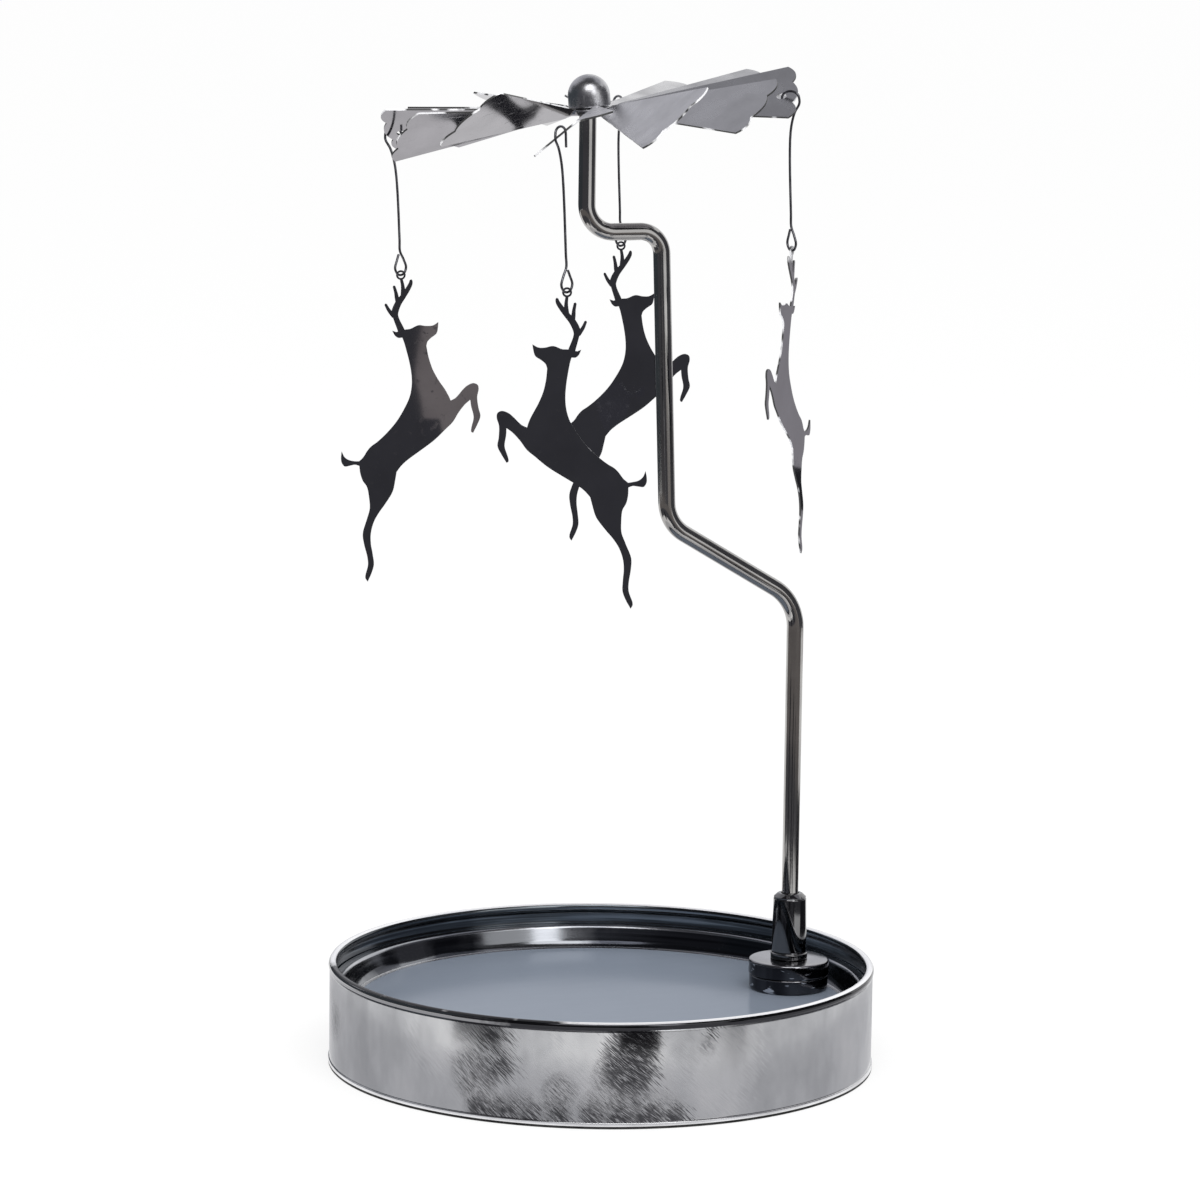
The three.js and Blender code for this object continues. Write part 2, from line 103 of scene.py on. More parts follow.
# Needle, hub and rotor
PIVOT = (SPIN_X, 0, 160.4)
NEEDLE_LENGTH = 5.6
NEEDLE_RADIUS = 0.55
NEEDLE_POINT = 1.5
CAP_RADIUS = 3.4
CAP_TOP = 2.3
CAP_STEPS = 14
CAP_SKIRT = 2.9
CAP_BORE = 2.25
WASHER_RADIUS = 3.6
WASHER_LOW = -3.5
LEAN_ANGLE = 5.7
LEAN_AZIMUTH = 175.5
SHEET = 0.3
ROTOR_Z = -3.75
HUB_RADIUS = 4.8
HUB_RINGS = [HUB_RADIUS, 3.9, 3.1, CAP_BORE]
GAP_STEPS = 8
BLADE_RAMP = 1.1
BLADE_REACH = 32.8
BLADE_LOW = -5.2
BLADE_ROOT_LOW = -0.35
BLADE_ROOT_HIGH = 1.25
BLADE_ROOT_X = 4
BLADE_ROOT_END = HUB_RADIUS * 0.985
LOBE_WIDTHS = [4.1, 5.9, 4.4]
LOBE_BULGE = 0.85
LOBE_STEPS = 9
BLADE_PITCH = [18, 13, 12, 28, 33, 32, 34, 34, 35, 34, 29, 29]
BLADE_LIFT = [0.7, -1.2, -3.3, -3.7, -6.4, -3.4, -3.5, 2.8, -1.2, -1.6, -1.5, -0.5]
CURLED_BLADE = 8
CURL_START = 3.4
CURL_ANGLE = 25
EYELET_X = 30.95
EYELET_Y = 0.8
EYELET_RADIUS = 0.8

# Shares of a blade's length where its rows of points lie, closest at its bend
BLADE_ROWS = [0, 0.01, 0.02, 0.03, 0.04, 0.055, 0.08, 0.12]
BLADE_ROWS += [0.2 + 0.08 * k for k in range(9)] + [0.9, 0.95, 1]

# Pendants: the blade each hangs from, the length of its hook, the way its tail points and its tilt
PENDANTS = [(8, 24.6, -21.7, 0.8), (11, 24.4, 48, -2.5), (2, 23.9, 158, -2.5), (5, 22.8, 158, -5.5)]
PLUMB_TILT = 2.5
PLUMB_AZIMUTH = -21.7
HANG_X = 32.0
HANG_Y = 0.4
WIRE_RADIUS = 0.2
HOOK_INNER = 1.1
HOOK_OUTER = 2
HOOK_ARCH = 1.1
HOOK_TAIL = 2.2
HOOK_TURN = -22
HOOK_SHANK = [(1, -0.9), (0.55, -2.4), (0.15, -5.5)]
EYE_WIDTH = 2.6
EYE_HEIGHT = 3.9
EYE_TURN = 50
EYE_LOOP = [
    (0, 1), (-0.6, 0.64), (-1, 0.3), (-0.6, 0.06), (0, 0), (0.6, 0.06), (1, 0.3), (0.6, 0.64), (0.28, 0.86),
]
RING_RADIUS = 0.78
RING_HOLE = 0.47
REINDEER_SCALE = 0.972

# A wire's domed end, as shares of its radius: how wide it is there and how far out that lies
WIRE_END = [(0.94, 0.12), (0.78, 0.24), (0.45, 0.32)]

# Places on the wall by angle to the image's right, height and size: scratched; painted dark, as painted dark
# reflection high up and painted shade along the foot; painted light, as painted reflection
SCRATCHED = [
    (-26, 7, 5), (-24, 2.2, 4.5), (-17, 2.5, 4.5), (-9, 2.2, 4.5), (-1, 2.5, 4.5), (7, 3, 5), (14, 2.2, 4),
    (22, 13, 3), (-8, 5.5, 4), (4, 8, 5), (-75, 9, 6), (120, 6, 9), (170, 9, 8), (215, 5, 8),
]
PAINTED_DARK_SPOTS = [
    (6.5, 14, 3.9), (6.5, 9.5, 3.6), (-22, 14, 3.5), (-20.5, 9.5, 3.1), (23, 15.5, 2), (-25, 1.2, 1.9),
    (-19, 1.3, 2.2), (-14, 1.3, 2.2), (-8, 1.4, 2.4), (-2, 1.3, 2.2), (4, 1.3, 2.2), (10, 1.2, 1.8),
    (16, 1.2, 1.5), (135, 12, 6), (205, 5, 6),
]
PAINTED_LIGHT_SPOTS = [(-1.5, 13, 6), (-1.5, 7, 5), (26, 10, 9), (-36, 13, 7), (150, 9, 10), (-120, 8, 9)]

# Places on the tray's drawn wall that are painted light as painted reflections, the same way
SIDE_PAINTED_LIGHT_SPOTS = [(203, 12.5, 9), (192, 13, 9), (-100, 12, 12), (-128, 12.5, 6), (40, 12, 9)]

# Stretches of the rim, the same way: there its crest's painted highlight gives way to painted dark
# reflection, and its side's painted dark reflection to painted reflected light
CREST_PAINTED_DARK = [(-72, 17, 11), (-58, 17, 13), (-42, 17, 13), (-26, 17, 12), (-12, 17, 8)]
RIM_SIDE_PAINTED_LIGHT = [(-84, 16, 14), (-68, 16, 14), (-52, 16, 13), (-38, 16, 10), (-28, 16, 6)]

# Camera, at the photograph's place
CAMERA_PLACE = (-296.74, -742.93, 199.4)
CAMERA_AZIMUTH = -21.7
CAMERA_DOWN = 8.69
CAMERA_ROLL = 0.77
CAMERA_LENS = 148.6
CAMERA_SENSOR = 36

# Studio
AIM_Z = 100
DOME_RADIUS = 1000
FLOOR_REACH = 6000
FLOOR_WHITE = 0.72


# Meshes

def add_object(name, data):
    piece = bpy.data.objects.new(name, data)
    bpy.context.scene.collection.objects.link(piece)
    return piece


def add_mesh(name, points, faces, materials):
    """A mesh object from points in mm."""
    mesh = bpy.data.meshes.new(name)
    mesh.from_pydata([Vector(p) * MM for p in points], [], faces)
    for material in materials:
        mesh.materials.append(material)
    return add_object(name, mesh)


def new_piece(name, points, faces, materials, body, nodes, smooth_angle=SMOOTH_ANGLE, uvs=None):
    """A mesh from points in mm, riding on a body in place of its CAD nodes."""
    piece = add_mesh(name, points, faces, materials)
    if uvs:
        layer = piece.data.uv_layers.new(name="UVMap")
        for loop, uv in zip(layer.data, uvs):
            loop.uv = uv
    shade(piece.data, smooth_angle)
    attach(piece, body)
    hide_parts(*nodes)
    return piece


def shade(mesh, smooth_angle):
    mesh.shade_smooth()
    mesh.set_sharp_from_angle(angle=math.radians(smooth_angle))


def thicken(piece):
    """Gives a flat piece the sheet's thickness. Its materials are its top's, underside's and edge's."""
    solid = piece.modifiers.new("sheet", "SOLIDIFY")
    solid.thickness = SHEET * MM
    solid.offset = 0
    solid.material_offset = 1
    solid.material_offset_rim = 2
    apply_modifiers(piece)


def apply_modifiers(piece):
    """Bakes a piece's modifiers into its mesh."""
    depsgraph = bpy.context.evaluated_depsgraph_get()
    baked = bpy.data.meshes.new_from_object(piece.evaluated_get(depsgraph))
    piece.modifiers.clear()
    piece.data = baked


def bow(start, crown, end, steps):
    """Points along a curve from start to end, drawn towards a crown."""
    shares = [k / steps for k in range(steps + 1)]
    return [start * (1 - t) ** 2 + crown * 2 * t * (1 - t) + end * t ** 2 for t in shares]


def soften(corners, steps=5):
    """Rounds the corners of a closed profile given as (radius, height, corner radius, finish).
    The finish numbers the material of the stretch that starts there, 0 where it isn't given."""
    points = []
    finishes = []
    count = len(corners)
    for i, (r, z, corner, *finish) in enumerate(corners):
        here = Vector((r, z))
        kind = finish[0] if finish else 0
        finishes += [kind] * (1 if corner == 0 else steps + 1)
        if corner == 0:
            points.append(here)
            continue
        before = Vector(corners[i - 1][:2]) - here
        after = Vector(corners[(i + 1) % count][:2]) - here
        reach = min(corner, CORNER_SHARE * before.length, CORNER_SHARE * after.length)
        points += bow(here + before.normalized() * reach, here, here + after.normalized() * reach, steps)
    return points, finishes


def turned(corners, segments):
    """Points, faces, finishes and UVs of a body turned round Z. U is turns round, V is mm of profile."""
    profile, kinds = soften(corners)
    count = len(profile)
    points = []
    for out in circle(1, segments):
        points += [(*out * p.x, p.y) for p in profile]
    along = [0]
    for i in range(count):
        along.append(along[-1] + (profile[(i + 1) % count] - profile[i]).length)
    faces = []
    finishes = []
    uvs = []
    for k in range(segments):
        for i in range(count):
            j = (i + 1) % count
            if profile[i].x < 1e-6 and profile[j].x < 1e-6:
                continue
            here = k * count
            there = ((k + 1) % segments) * count
            face = [here + i, there + i, there + j, here + j]
            uv = [(k, along[i]), (k + 1, along[i]), (k + 1, along[i + 1]), (k, along[i + 1])]
            if profile[i].x < 1e-6:
                del face[0], uv[0]
            if profile[j].x < 1e-6:
                del face[-1], uv[-1]
            faces.append(face)
            finishes.append(kinds[i])
            uvs += [(u / segments, v) for u, v in uv]
    return points, faces, finishes, uvs


def turned_piece(name, corners, place, materials, body, nodes, segments=192, turn=Matrix.Identity(3)):
    """A piece turned round Z, set at a place, each face with the finish of its stretch of profile."""
    points, faces, finishes, uvs = turned(corners, segments)
    placed = [turn @ Vector(p) + Vector(place) for p in points]
    piece = new_piece(name, placed, faces, materials, body, nodes, uvs=uvs)
    piece.data.polygons.foreach_set("material_index", finishes)
    weld(piece.data)


def weld(mesh):
    """Joins points that lie on each other and turns all faces outward."""
    work = bmesh.new()
    work.from_mesh(mesh)
    bmesh.ops.remove_doubles(work, verts=work.verts, dist=0.001 * MM)
    bmesh.ops.recalc_face_normals(work, faces=work.faces)
    work.to_mesh(mesh)
    work.free()
    shade(mesh, SMOOTH_ANGLE)


def polar(angle):
    return Vector((math.cos(angle), math.sin(angle)))


def circle(radius, sides):
    return [polar(2 * math.pi * k / sides) * radius for k in range(sides)]


def grid_faces(rows, columns, first):
    """Faces between rows of points, numbered on from the first point."""
    faces = []
    for j in range(rows - 1):
        for k in range(columns - 1):
            a = first + j * columns + k
            faces.append([a, a + columns, a + columns + 1, a + 1])
    return faces


def tube(path, radius, sides):
    """Points and faces of a round wire along a path, with softly domed ends."""
    steps = len(path)
    headings = []
    for i in range(steps):
        headings.append((path[min(i + 1, steps - 1)] - path[max(i - 1, 0)]).normalized())
    side = headings[0].orthogonal().normalized()
    rings = []
    for i in range(steps):
        side = (side - headings[i] * side.dot(headings[i])).normalized()
        rings.append((path[i], side.copy(), headings[i].cross(side), radius))
    for end, sign in ((0, -1), (-1, 1)):
        middle, across, over, size = rings[end]
        cap = []
        for share, out in WIRE_END:
            cap.append((middle + headings[end] * sign * out * radius, across, over, size * share))
        rings = cap[::-1] + rings if end == 0 else rings + cap
    points = []
    for middle, across, over, size in rings:
        points += [middle + across * p.x + over * p.y for p in circle(size, sides)]
    faces = [list(range(sides))[::-1], [len(points) - sides + k for k in range(sides)]]
    for i in range(len(rings) - 1):
        for k in range(sides):
            n = (k + 1) % sides
            faces.append([i * sides + k, i * sides + n, (i + 1) * sides + n, (i + 1) * sides + k])
    return points, faces


def curve_through(points, steps):
    """Centripetal Catmull-Rom curve through points."""
    padded = [2 * points[0] - points[1], *points, 2 * points[-1] - points[-2]]
    path = []
    for i in range(1, len(padded) - 2):
        p = padded[i - 1:i + 3]
        t = [0]
        for k in range(3):
            t.append(t[-1] + max((p[k + 1] - p[k]).length, 1e-6) ** 0.5)
        for k in range(steps):
            s = t[1] + (t[2] - t[1]) * k / steps
            a = [p[j].lerp(p[j + 1], (s - t[j]) / (t[j + 1] - t[j])) for j in range(3)]
            b = [a[j].lerp(a[j + 1], (s - t[j]) / (t[j + 2] - t[j])) for j in range(2)]
            path.append(b[0].lerp(b[1], (s - t[1]) / (t[2] - t[1])))
    path.append(points[-1])
    return path


# Materials

class Paint:
    """A material under construction: its node tree, its shader and the coordinates on the object."""

    def __init__(self, name, roughness=0.5):
        self.material = bpy.data.materials.new(name)
        self.material.use_nodes = True
        self.tree = self.material.node_tree
        self.shader = self.tree.nodes["Principled BSDF"]
        self.set("Metallic", 1)
        self.set("Roughness", roughness)
        coordinates = self.tree.nodes.new("ShaderNodeTexCoord")
        self.place = coordinates.outputs["Object"]
        self.uv = coordinates.outputs["UV"]

    def node(self, kind, settings=(), sockets=(), **inputs):
        """A node with its settings, and its inputs given by number or by name."""
        node = self.tree.nodes.new("ShaderNode" + kind)
        for key, value in dict(settings).items():
            setattr(node, key, value)
        for key, value in dict(sockets).items():
            self.feed(node.inputs[key], value)
        for key, value in inputs.items():
            self.feed(node.inputs[key.replace("_", " ")], value)
        return node

    def feed(self, socket, value):
        if isinstance(value, bpy.types.NodeSocket):
            self.tree.links.new(value, socket)
        else:
            socket.default_value = value

    def value(self, kind, settings=(), sockets=(), **inputs):
        return self.node(kind, settings, sockets, **inputs).outputs[0]

    def set(self, socket, value):
        """Sets one of the shader's own inputs."""
        self.feed(self.shader.inputs[socket], value)

    def color(self, value):
        self.set("Base Color", value)

    def surface(self, value):
        self.feed(self.tree.nodes["Material Output"].inputs["Surface"], value)

    def stretch(self, vector, scale):
        """Coordinates scaled along each axis, which draws a pattern out along the smaller ones."""
        return self.value("Mapping", Vector=vector, Scale=scale)

    def noise(self, scale, detail=3, roughness=0.55, vector=None):
        """Noise on the object, or along other coordinates."""
        place = vector or self.place
        return self.value("TexNoise", Vector=place, Scale=scale, Detail=detail, Roughness=roughness)

    def streaks(self, factors, scale, detail=3, roughness=0.55):
        """Noise on the object, drawn out along the axes with the smaller factors."""
        return self.noise(scale, detail, roughness, self.stretch(self.place, factors))

    def ramp(self, value, low, high, start=0.0, end=1.0):
        """Maps a value from the range low..high to start..end, held at the ends."""
        return self.value("MapRange", From_Min=low, From_Max=high, To_Min=start, To_Max=end, Value=value)

    def sum(self, a, b, operation="ADD", clamp=False):
        return self.value("Math", {"operation": operation, "use_clamp": clamp}, {0: a, 1: b})

    def product(self, a, b):
        return self.sum(a, b, "MULTIPLY")

    def tones(self, value, stops):
        """A colour from a value, through (position, colour) stops."""
        node = self.node("ValToRGB", Fac=value)
        elements = node.color_ramp.elements
        while len(elements) < len(stops):
            elements.new(0.5)
        for element, (position, color) in zip(elements, stops):
            element.position = position
            element.color = (*color, 1)
        return node.outputs["Color"]

    def blend(self, share, a, b):
        return self.node("Mix", {"data_type": "RGBA"}, {0: share, 6: a, 7: b}).outputs[2]

    def bump(self, height, distance):
        """Raises the surface by a height in mm."""
        self.set("Normal", self.value("Bump", Height=height, Distance=distance * MM))

    def brushed_round(self, amount):
        """Stretches the highlights as on metal polished round the Z axis."""
        self.set("Anisotropic", amount)
        self.set("Tangent", self.value("Tangent", {"direction_type": "RADIAL", "axis": "Z"}))

    def diagonal_scratches(self, across, along, tilt):
        """Straight lines laid over the wall at a tilt in degrees, with this many per mm across and along."""
        flat = self.stretch(self.uv, (2 * math.pi * BASE_RADIUS, 1, 1))
        tilted = self.value("Mapping", Vector=flat, Rotation=(0, 0, math.radians(tilt)))
        return self.noise(1, 1, 0.5, self.stretch(tilted, (along, across, 1)))

    def spots(self, places, ragged, radius=BASE_RADIUS):
        """1 at each place on a wall, given by angle, height and size in mm, down to 0 at a ragged edge."""
        share = 0.0
        for a, height, size in places:
            middle = (*polar(view_azimuth(a)) * radius * MM, height * MM)
            away = self.node("VectorMath", {"operation": "DISTANCE"}, {0: self.place, 1: middle})
            reach = self.sum(away.outputs["Value"], ragged)
            share = self.sum(share, self.ramp(reach, 0.5 * size * MM, size * MM, 1, 0), "MAXIMUM")
        return share


def wall_plate():
    """Hazy nickel on the outer wall, with diagonal scratches, spots of painted dark reflection and painted
    shade, and spots of painted reflected light.
    """
    paint = Paint("wall_plate")
    haze = paint.streaks((1, 1, 0.6), 55, 4, 0.6)
    streaks = paint.streaks((1, 1, 0.05), 320, 3, 0.6)
    first = paint.diagonal_scratches(6.2, 0.38, 43)
    second = paint.diagonal_scratches(8, 0.5, 38)
    ragged = paint.product(paint.sum(paint.sum(first, haze), -1), 10 * MM)
    scratched = paint.spots(SCRATCHED, ragged)
    wear_and_painted_shading = paint.spots(PAINTED_DARK_SPOTS, ragged)
    lines = paint.product(paint.ramp(first, 0.51, 0.56), scratched)
    tone = paint.sum(paint.product(haze, 0.92), paint.product(streaks, 0.08))
    plate = paint.tones(tone, [
        (0.36, (0.53, 0.53, 0.54)), (0.5, (0.46, 0.465, 0.48)), (0.64, (0.36, 0.365, 0.38)),
    ])
    # Painted reflections of light: spots of the wall painted lighter.
    painted_light = paint.product(paint.spots(PAINTED_LIGHT_SPOTS, ragged), 0.42)
    plate = paint.blend(painted_light, plate, (0.64, 0.64, 0.65, 1))
    dulled = paint.blend(paint.product(scratched, 0.25), plate, (0.25, 0.25, 0.26, 1))
    lined = paint.blend(paint.product(lines, 0.75), dulled, (0.07, 0.07, 0.075, 1))
    # Painted dark reflection on the upper wall and painted shade along its foot, laid in near black.
    dark = paint.blend(paint.product(wear_and_painted_shading, 0.88), lined, (0.03, 0.03, 0.035, 1))
    bright = paint.product(paint.ramp(second, 0.54, 0.64), paint.sum(wear_and_painted_shading, lines, "MAXIMUM"))
    paint.color(paint.blend(paint.product(bright, 0.6), dark, (0.66, 0.66, 0.68, 1)))
    paint.set("Roughness", paint.sum(paint.ramp(haze, 0.38, 0.66, 0.1, 0.26), paint.product(lines, 0.1)))
    grain = paint.noise(900)
    height = paint.sum(paint.product(lines, 0.6), paint.product(grain, 0.2))
    paint.bump(paint.sum(height, paint.product(streaks, 0.08)), 0.02)
    paint.brushed_round(0.2)
    return paint.material


def rim_plate(name, color, painted_patch_color, places, metallic, roughness):
    """Rolled rim: one tone all round and ragged stretches of another, both painted light: painted highlight
    and painted dark reflection on the crest, painted dark reflection and painted reflected light on the
    side.
    """
    paint = Paint(name, roughness)
    paint.set("Metallic", metallic)
    paint.set("Specular IOR Level", 0.2)
    cloud = paint.noise(150, 4, 0.6)
    ragged = paint.product(paint.sum(cloud, -0.5), 22 * MM)
    wear_and_painted_shading = paint.spots(places, ragged)
    paint.color(paint.blend(wear_and_painted_shading, (*color, 1), (*painted_patch_color, 1)))
    return paint.material


def inner_plate():
    """Inside of the wall and the rim: chrome painted near black as painted shade in the hollow, with marks
    of polishing that run round it.
    """
    paint = Paint("inner_plate")
    rings = paint.streaks((1, 1, 60), 22, 4, 0.6)
    cloud = paint.noise(40)
    both = paint.sum(paint.product(rings, 0.7), paint.product(cloud, 0.3))
    paint.color(paint.tones(both, [
        (0.4, (0.05, 0.055, 0.065)), (0.5, (0.09, 0.1, 0.11)), (0.62, (0.3, 0.33, 0.36)),
    ]))
    paint.set("Roughness", paint.ramp(cloud, 0.3, 0.7, 0.08, 0.18))
    paint.bump(rings, 0.015)
    paint.brushed_round(0.4)
    return paint.material


def lip_painted_shadow():
    """Underside of the hem: dull, and painted near black as the contact shadow where it rests on the table.
    """
    paint = Paint("lip_painted_shadow", 0.6)
    wear_and_painted_shading = paint.noise(300)
    paint.color(paint.tones(wear_and_painted_shading, [(0.4, (0.02, 0.02, 0.02)), (0.7, (0.06, 0.06, 0.06))]))
    paint.bump(wear_and_painted_shading, 0.02)
    return paint.material


def floor_plate():
    """Flat floor of the tray: even blue-grey satin plate with faint clouds and wipe marks."""
    paint = Paint("floor_plate")
    paint.set("Metallic", 0.06)
    paint.set("Specular IOR Level", 0.03)
    cloud = paint.noise(35)
    wipes = paint.streaks((1, 5, 1), 90, 4, 0.6)
    tone = paint.sum(paint.product(cloud, 0.6), paint.product(wipes, 0.4))
    paint.color(paint.tones(tone, [(0.35, (0.2, 0.23, 0.28)), (0.65, (0.19, 0.22, 0.27))]))
    paint.set("Roughness", paint.ramp(cloud, 0.35, 0.7, 0.12, 0.18))
    paint.bump(wipes, 0.003)
    return paint.material


def side_plate():
    """Drawn wall of the tray: chrome painted near black as painted shade in the hollow, with spots painted
    lighter as painted reflections.
    """
    paint = Paint("side_plate")
    rings = paint.streaks((1, 1, 60), 26)
    cloud = paint.noise(120)
    ragged = paint.product(paint.sum(cloud, -0.5), 20 * MM)
    light = paint.spots(SIDE_PAINTED_LIGHT_SPOTS, ragged, TRAY_MOUTH)
    dark = paint.tones(rings, [(0.35, (0.03, 0.032, 0.04)), (0.65, (0.07, 0.075, 0.09))])
    paint.color(paint.blend(paint.product(light, 0.8), dark, (0.27, 0.28, 0.3, 1)))
    paint.set("Roughness", paint.ramp(rings, 0.3, 0.7, 0.1, 0.2))
    paint.bump(rings, 0.01)
    return paint.material


def ledge_plate():
    """The tray's ledge and its pressed edge, painted lighter than the drawn wall as a painted highlight."""
    paint = Paint("ledge_plate", 0.2)
    cloud = paint.noise(60)
    paint.color(paint.tones(cloud, [(0.35, (0.5, 0.51, 0.54)), (0.65, (0.2, 0.21, 0.24))]))
    paint.bump(paint.streaks((1, 1, 60), 40), 0.01)
    return paint.material


def dark_chrome(name, color, roughness):
    """Polished chrome over steel wire and turned parts, with faint drawing marks."""
    paint = Paint(name, roughness)
    cloud = paint.noise(120)
    darker = tuple(0.75 * c for c in color)
    paint.color(paint.tones(cloud, [(0.35, color), (0.7, darker)]))
    paint.set("Roughness", paint.ramp(cloud, 0.3, 0.7, roughness * 0.8, roughness * 1.4))
    paint.bump(paint.streaks((40, 40, 1), 30, 2), 0.004)
    return paint.material


def side_painted_shade():
    """Sides of the two discs: plate painted near black as painted shade, with small bright spots that are
    partly nicks and partly painted glints.
    """
    paint = Paint("side_painted_shade", 0.1)
    nicks_and_glints = paint.ramp(paint.streaks((1, 1, 2.4), 380, 2), 0.6, 0.66)
    tall = paint.streaks((1, 1, 0.15), 260, 2)
    dark = paint.tones(tall, [(0.4, (0.035, 0.035, 0.04)), (0.7, (0.13, 0.13, 0.14))])
    paint.color(paint.blend(nicks_and_glints, dark, (0.8, 0.8, 0.82, 1)))
    paint.bump(paint.sum(nicks_and_glints, tall), 0.02)
    return paint.material


def ground_steel():
    """Needle steel, ground round its axis."""
    paint = Paint("ground_steel", 0.3)
    rings = paint.streaks((1, 1, 30), 300, 2)
    paint.color(paint.tones(rings, [(0.3, (0.6, 0.6, 0.62)), (0.7, (0.45, 0.45, 0.47))]))
    paint.bump(rings, 0.006)
    return paint.material


def satin_nickel():
    """Hub cap and washer: satin nickel with fine turning marks."""
    paint = Paint("satin_nickel")
    rings = paint.streaks((1, 1, 12), 500)
    cloud = paint.noise(350)
    paint.color(paint.tones(cloud, [(0.35, (0.56, 0.56, 0.58)), (0.7, (0.44, 0.44, 0.46))]))
    paint.set("Roughness", paint.ramp(cloud, 0.3, 0.7, 0.2, 0.34))
    paint.bump(paint.sum(rings, cloud), 0.012)
    paint.brushed_round(0.4)
    return paint.material


def mirror_sheet(name, color, roughness, wave):
    """Plated thin sheet: almost flat, with slow waves, a soft haze and a few handling marks."""
    paint = Paint(name, roughness)
    haze = paint.noise(160, 4, 0.6)
    wipes = paint.ramp(paint.streaks((1, 6, 3), 300), 0.6, 0.72)
    lighter = tuple(1.06 * c for c in color)
    darker = tuple(0.9 * c for c in color)
    paint.color(paint.tones(haze, [(0.3, lighter), (0.7, darker)]))
    rough = paint.ramp(haze, 0.3, 0.7, roughness * 0.8, roughness * 1.3)
    paint.set("Roughness", paint.sum(rough, paint.product(wipes, 0.08)))
    paint.bump(paint.noise(55, 1), wave)
    return paint.material


def cut_edge(name, color):
    """Sheared edge of the sheet: dark and rough, with stretches painted bright that are partly burr and
    partly painted glints.
    """
    paint = Paint(name, 0.45)
    paint.set("Metallic", 0.35)
    burr_and_glints = paint.ramp(paint.noise(210, 2), 0.52, 0.58)
    paint.color(paint.blend(burr_and_glints, (*color, 1), (0.9, 0.9, 0.92, 1)))
    paint.bump(paint.noise(2500, 2), 0.03)
    return paint.material


def wire_steel():
    """Thin hook wire, drawn bright and handled dull."""
    paint = Paint("wire_steel", 0.32)
    wear_and_painted_shading = paint.noise(700)
    paint.color(paint.tones(wear_and_painted_shading, [(0.35, (0.09, 0.09, 0.1)), (0.65, (0.22, 0.22, 0.24))]))
    paint.bump(paint.noise(3000, 2), 0.01)
    return paint.material


# Pieces

def base_skirt(*finishes):
    """Outer wall with a rolled rim standing just proud of it and a turned-in hem.
    Its finishes are the outside, inside, lip (painted contact shadow), crest of the rim (painted highlight),
    side of the rim (painted dark reflection) and hem (painted highlight)."""
    inner = WALL_RADIUS - WALL_SHEET
    bead = BASE_RADIUS - RIM_BEAD
    rim_foot = RIM_TOP - 2 * RIM_BEAD
    hem = BASE_RADIUS - HEM_WIDTH
    rim = []
    for k in range(RIM_STEPS + 1):
        out = polar(math.radians(RIM_START + RIM_SWEEP * k / RIM_STEPS)) * RIM_BEAD
        finish = 4 if k < RIM_SIDE_STEPS else 3 if k < RIM_CREST_STEPS else 1
        rim.append((bead + out.x, RIM_TOP - RIM_BEAD + out.y, 0, finish))
    corners = [
        (BASE_RADIUS - 0.5, 0, 0.2, 2),
        (BASE_RADIUS - 0.04, 0.06, 0.05, 2),
        (BASE_RADIUS, 0.5, 0.03, 5),
        (BASE_RADIUS, 0.98, 0.12, 5),
        (WALL_RADIUS, 1.1, 0.1),
        (WALL_RADIUS, rim_foot - 0.05, 0.15),
        *rim,
        (inner, rim_foot - 0.4, 0.2, 1),
        (inner, HEM_HEIGHT + 0.4, 0.3, 1),
        (hem, HEM_HEIGHT, 0.2, 1),
        (hem, 0.3, 0.2, 1),
        (hem + 0.3, 0, 0.2, 2),
    ]
    turned_piece("base_wall", corners, (0, 0, 0), finishes, "base", ["base_skirt"])


def base_tray(*finishes):
    """Pressed tray: flange on the hem, ledge, drafted wall with pressed corners, flat floor.
    Its finishes are the floor, the drawn wall (painted shade with painted reflections), the ledge (painted
    highlight) and the crease round the floor (painted highlight)."""
    flange_foot = HEM_HEIGHT + 0.5
    side = TRAY_MOUTH - 0.9
    corners = [
        (0, FLOOR_Z, 0),
        (FLOOR_EDGE, FLOOR_Z, 0.35, 3),
        (side - 0.45, FLOOR_Z + 0.3, 0.3, 1),
        (side, FLOOR_Z + 0.9, 0.4, 1),
        (TRAY_MOUTH - 0.1, LEDGE_Z - 0.3, 0.2, 2),
        (TRAY_MOUTH + 0.2, LEDGE_Z, 0.2, 2),
        (TRAY_FLANGE, LEDGE_Z, 0.15),
        (TRAY_FLANGE, flange_foot, 0.1),
        (TRAY_FLANGE - TRAY_SHEET, flange_foot, 0.1),
        (TRAY_FLANGE - TRAY_SHEET, LEDGE_Z - TRAY_SHEET, 0.2),
        (TRAY_MOUTH + TRAY_SHEET, LEDGE_Z - TRAY_SHEET, 0.3),
        (side + TRAY_SHEET, FLOOR_Z + 0.4, 0.5),
        (FLOOR_EDGE + 0.2, FLOOR_Z - TRAY_SHEET, 0.5),
        (0, FLOOR_Z - TRAY_SHEET, 0),
    ]
    turned_piece("pressed_tray", corners, (0, 0, 0), finishes, "base", ["base_tray"])


def foot_piece(name, corners, height, finishes, node):
    turned_piece(name, corners, (FOOT_X, 0, height), finishes, "stand", [node], segments=96)


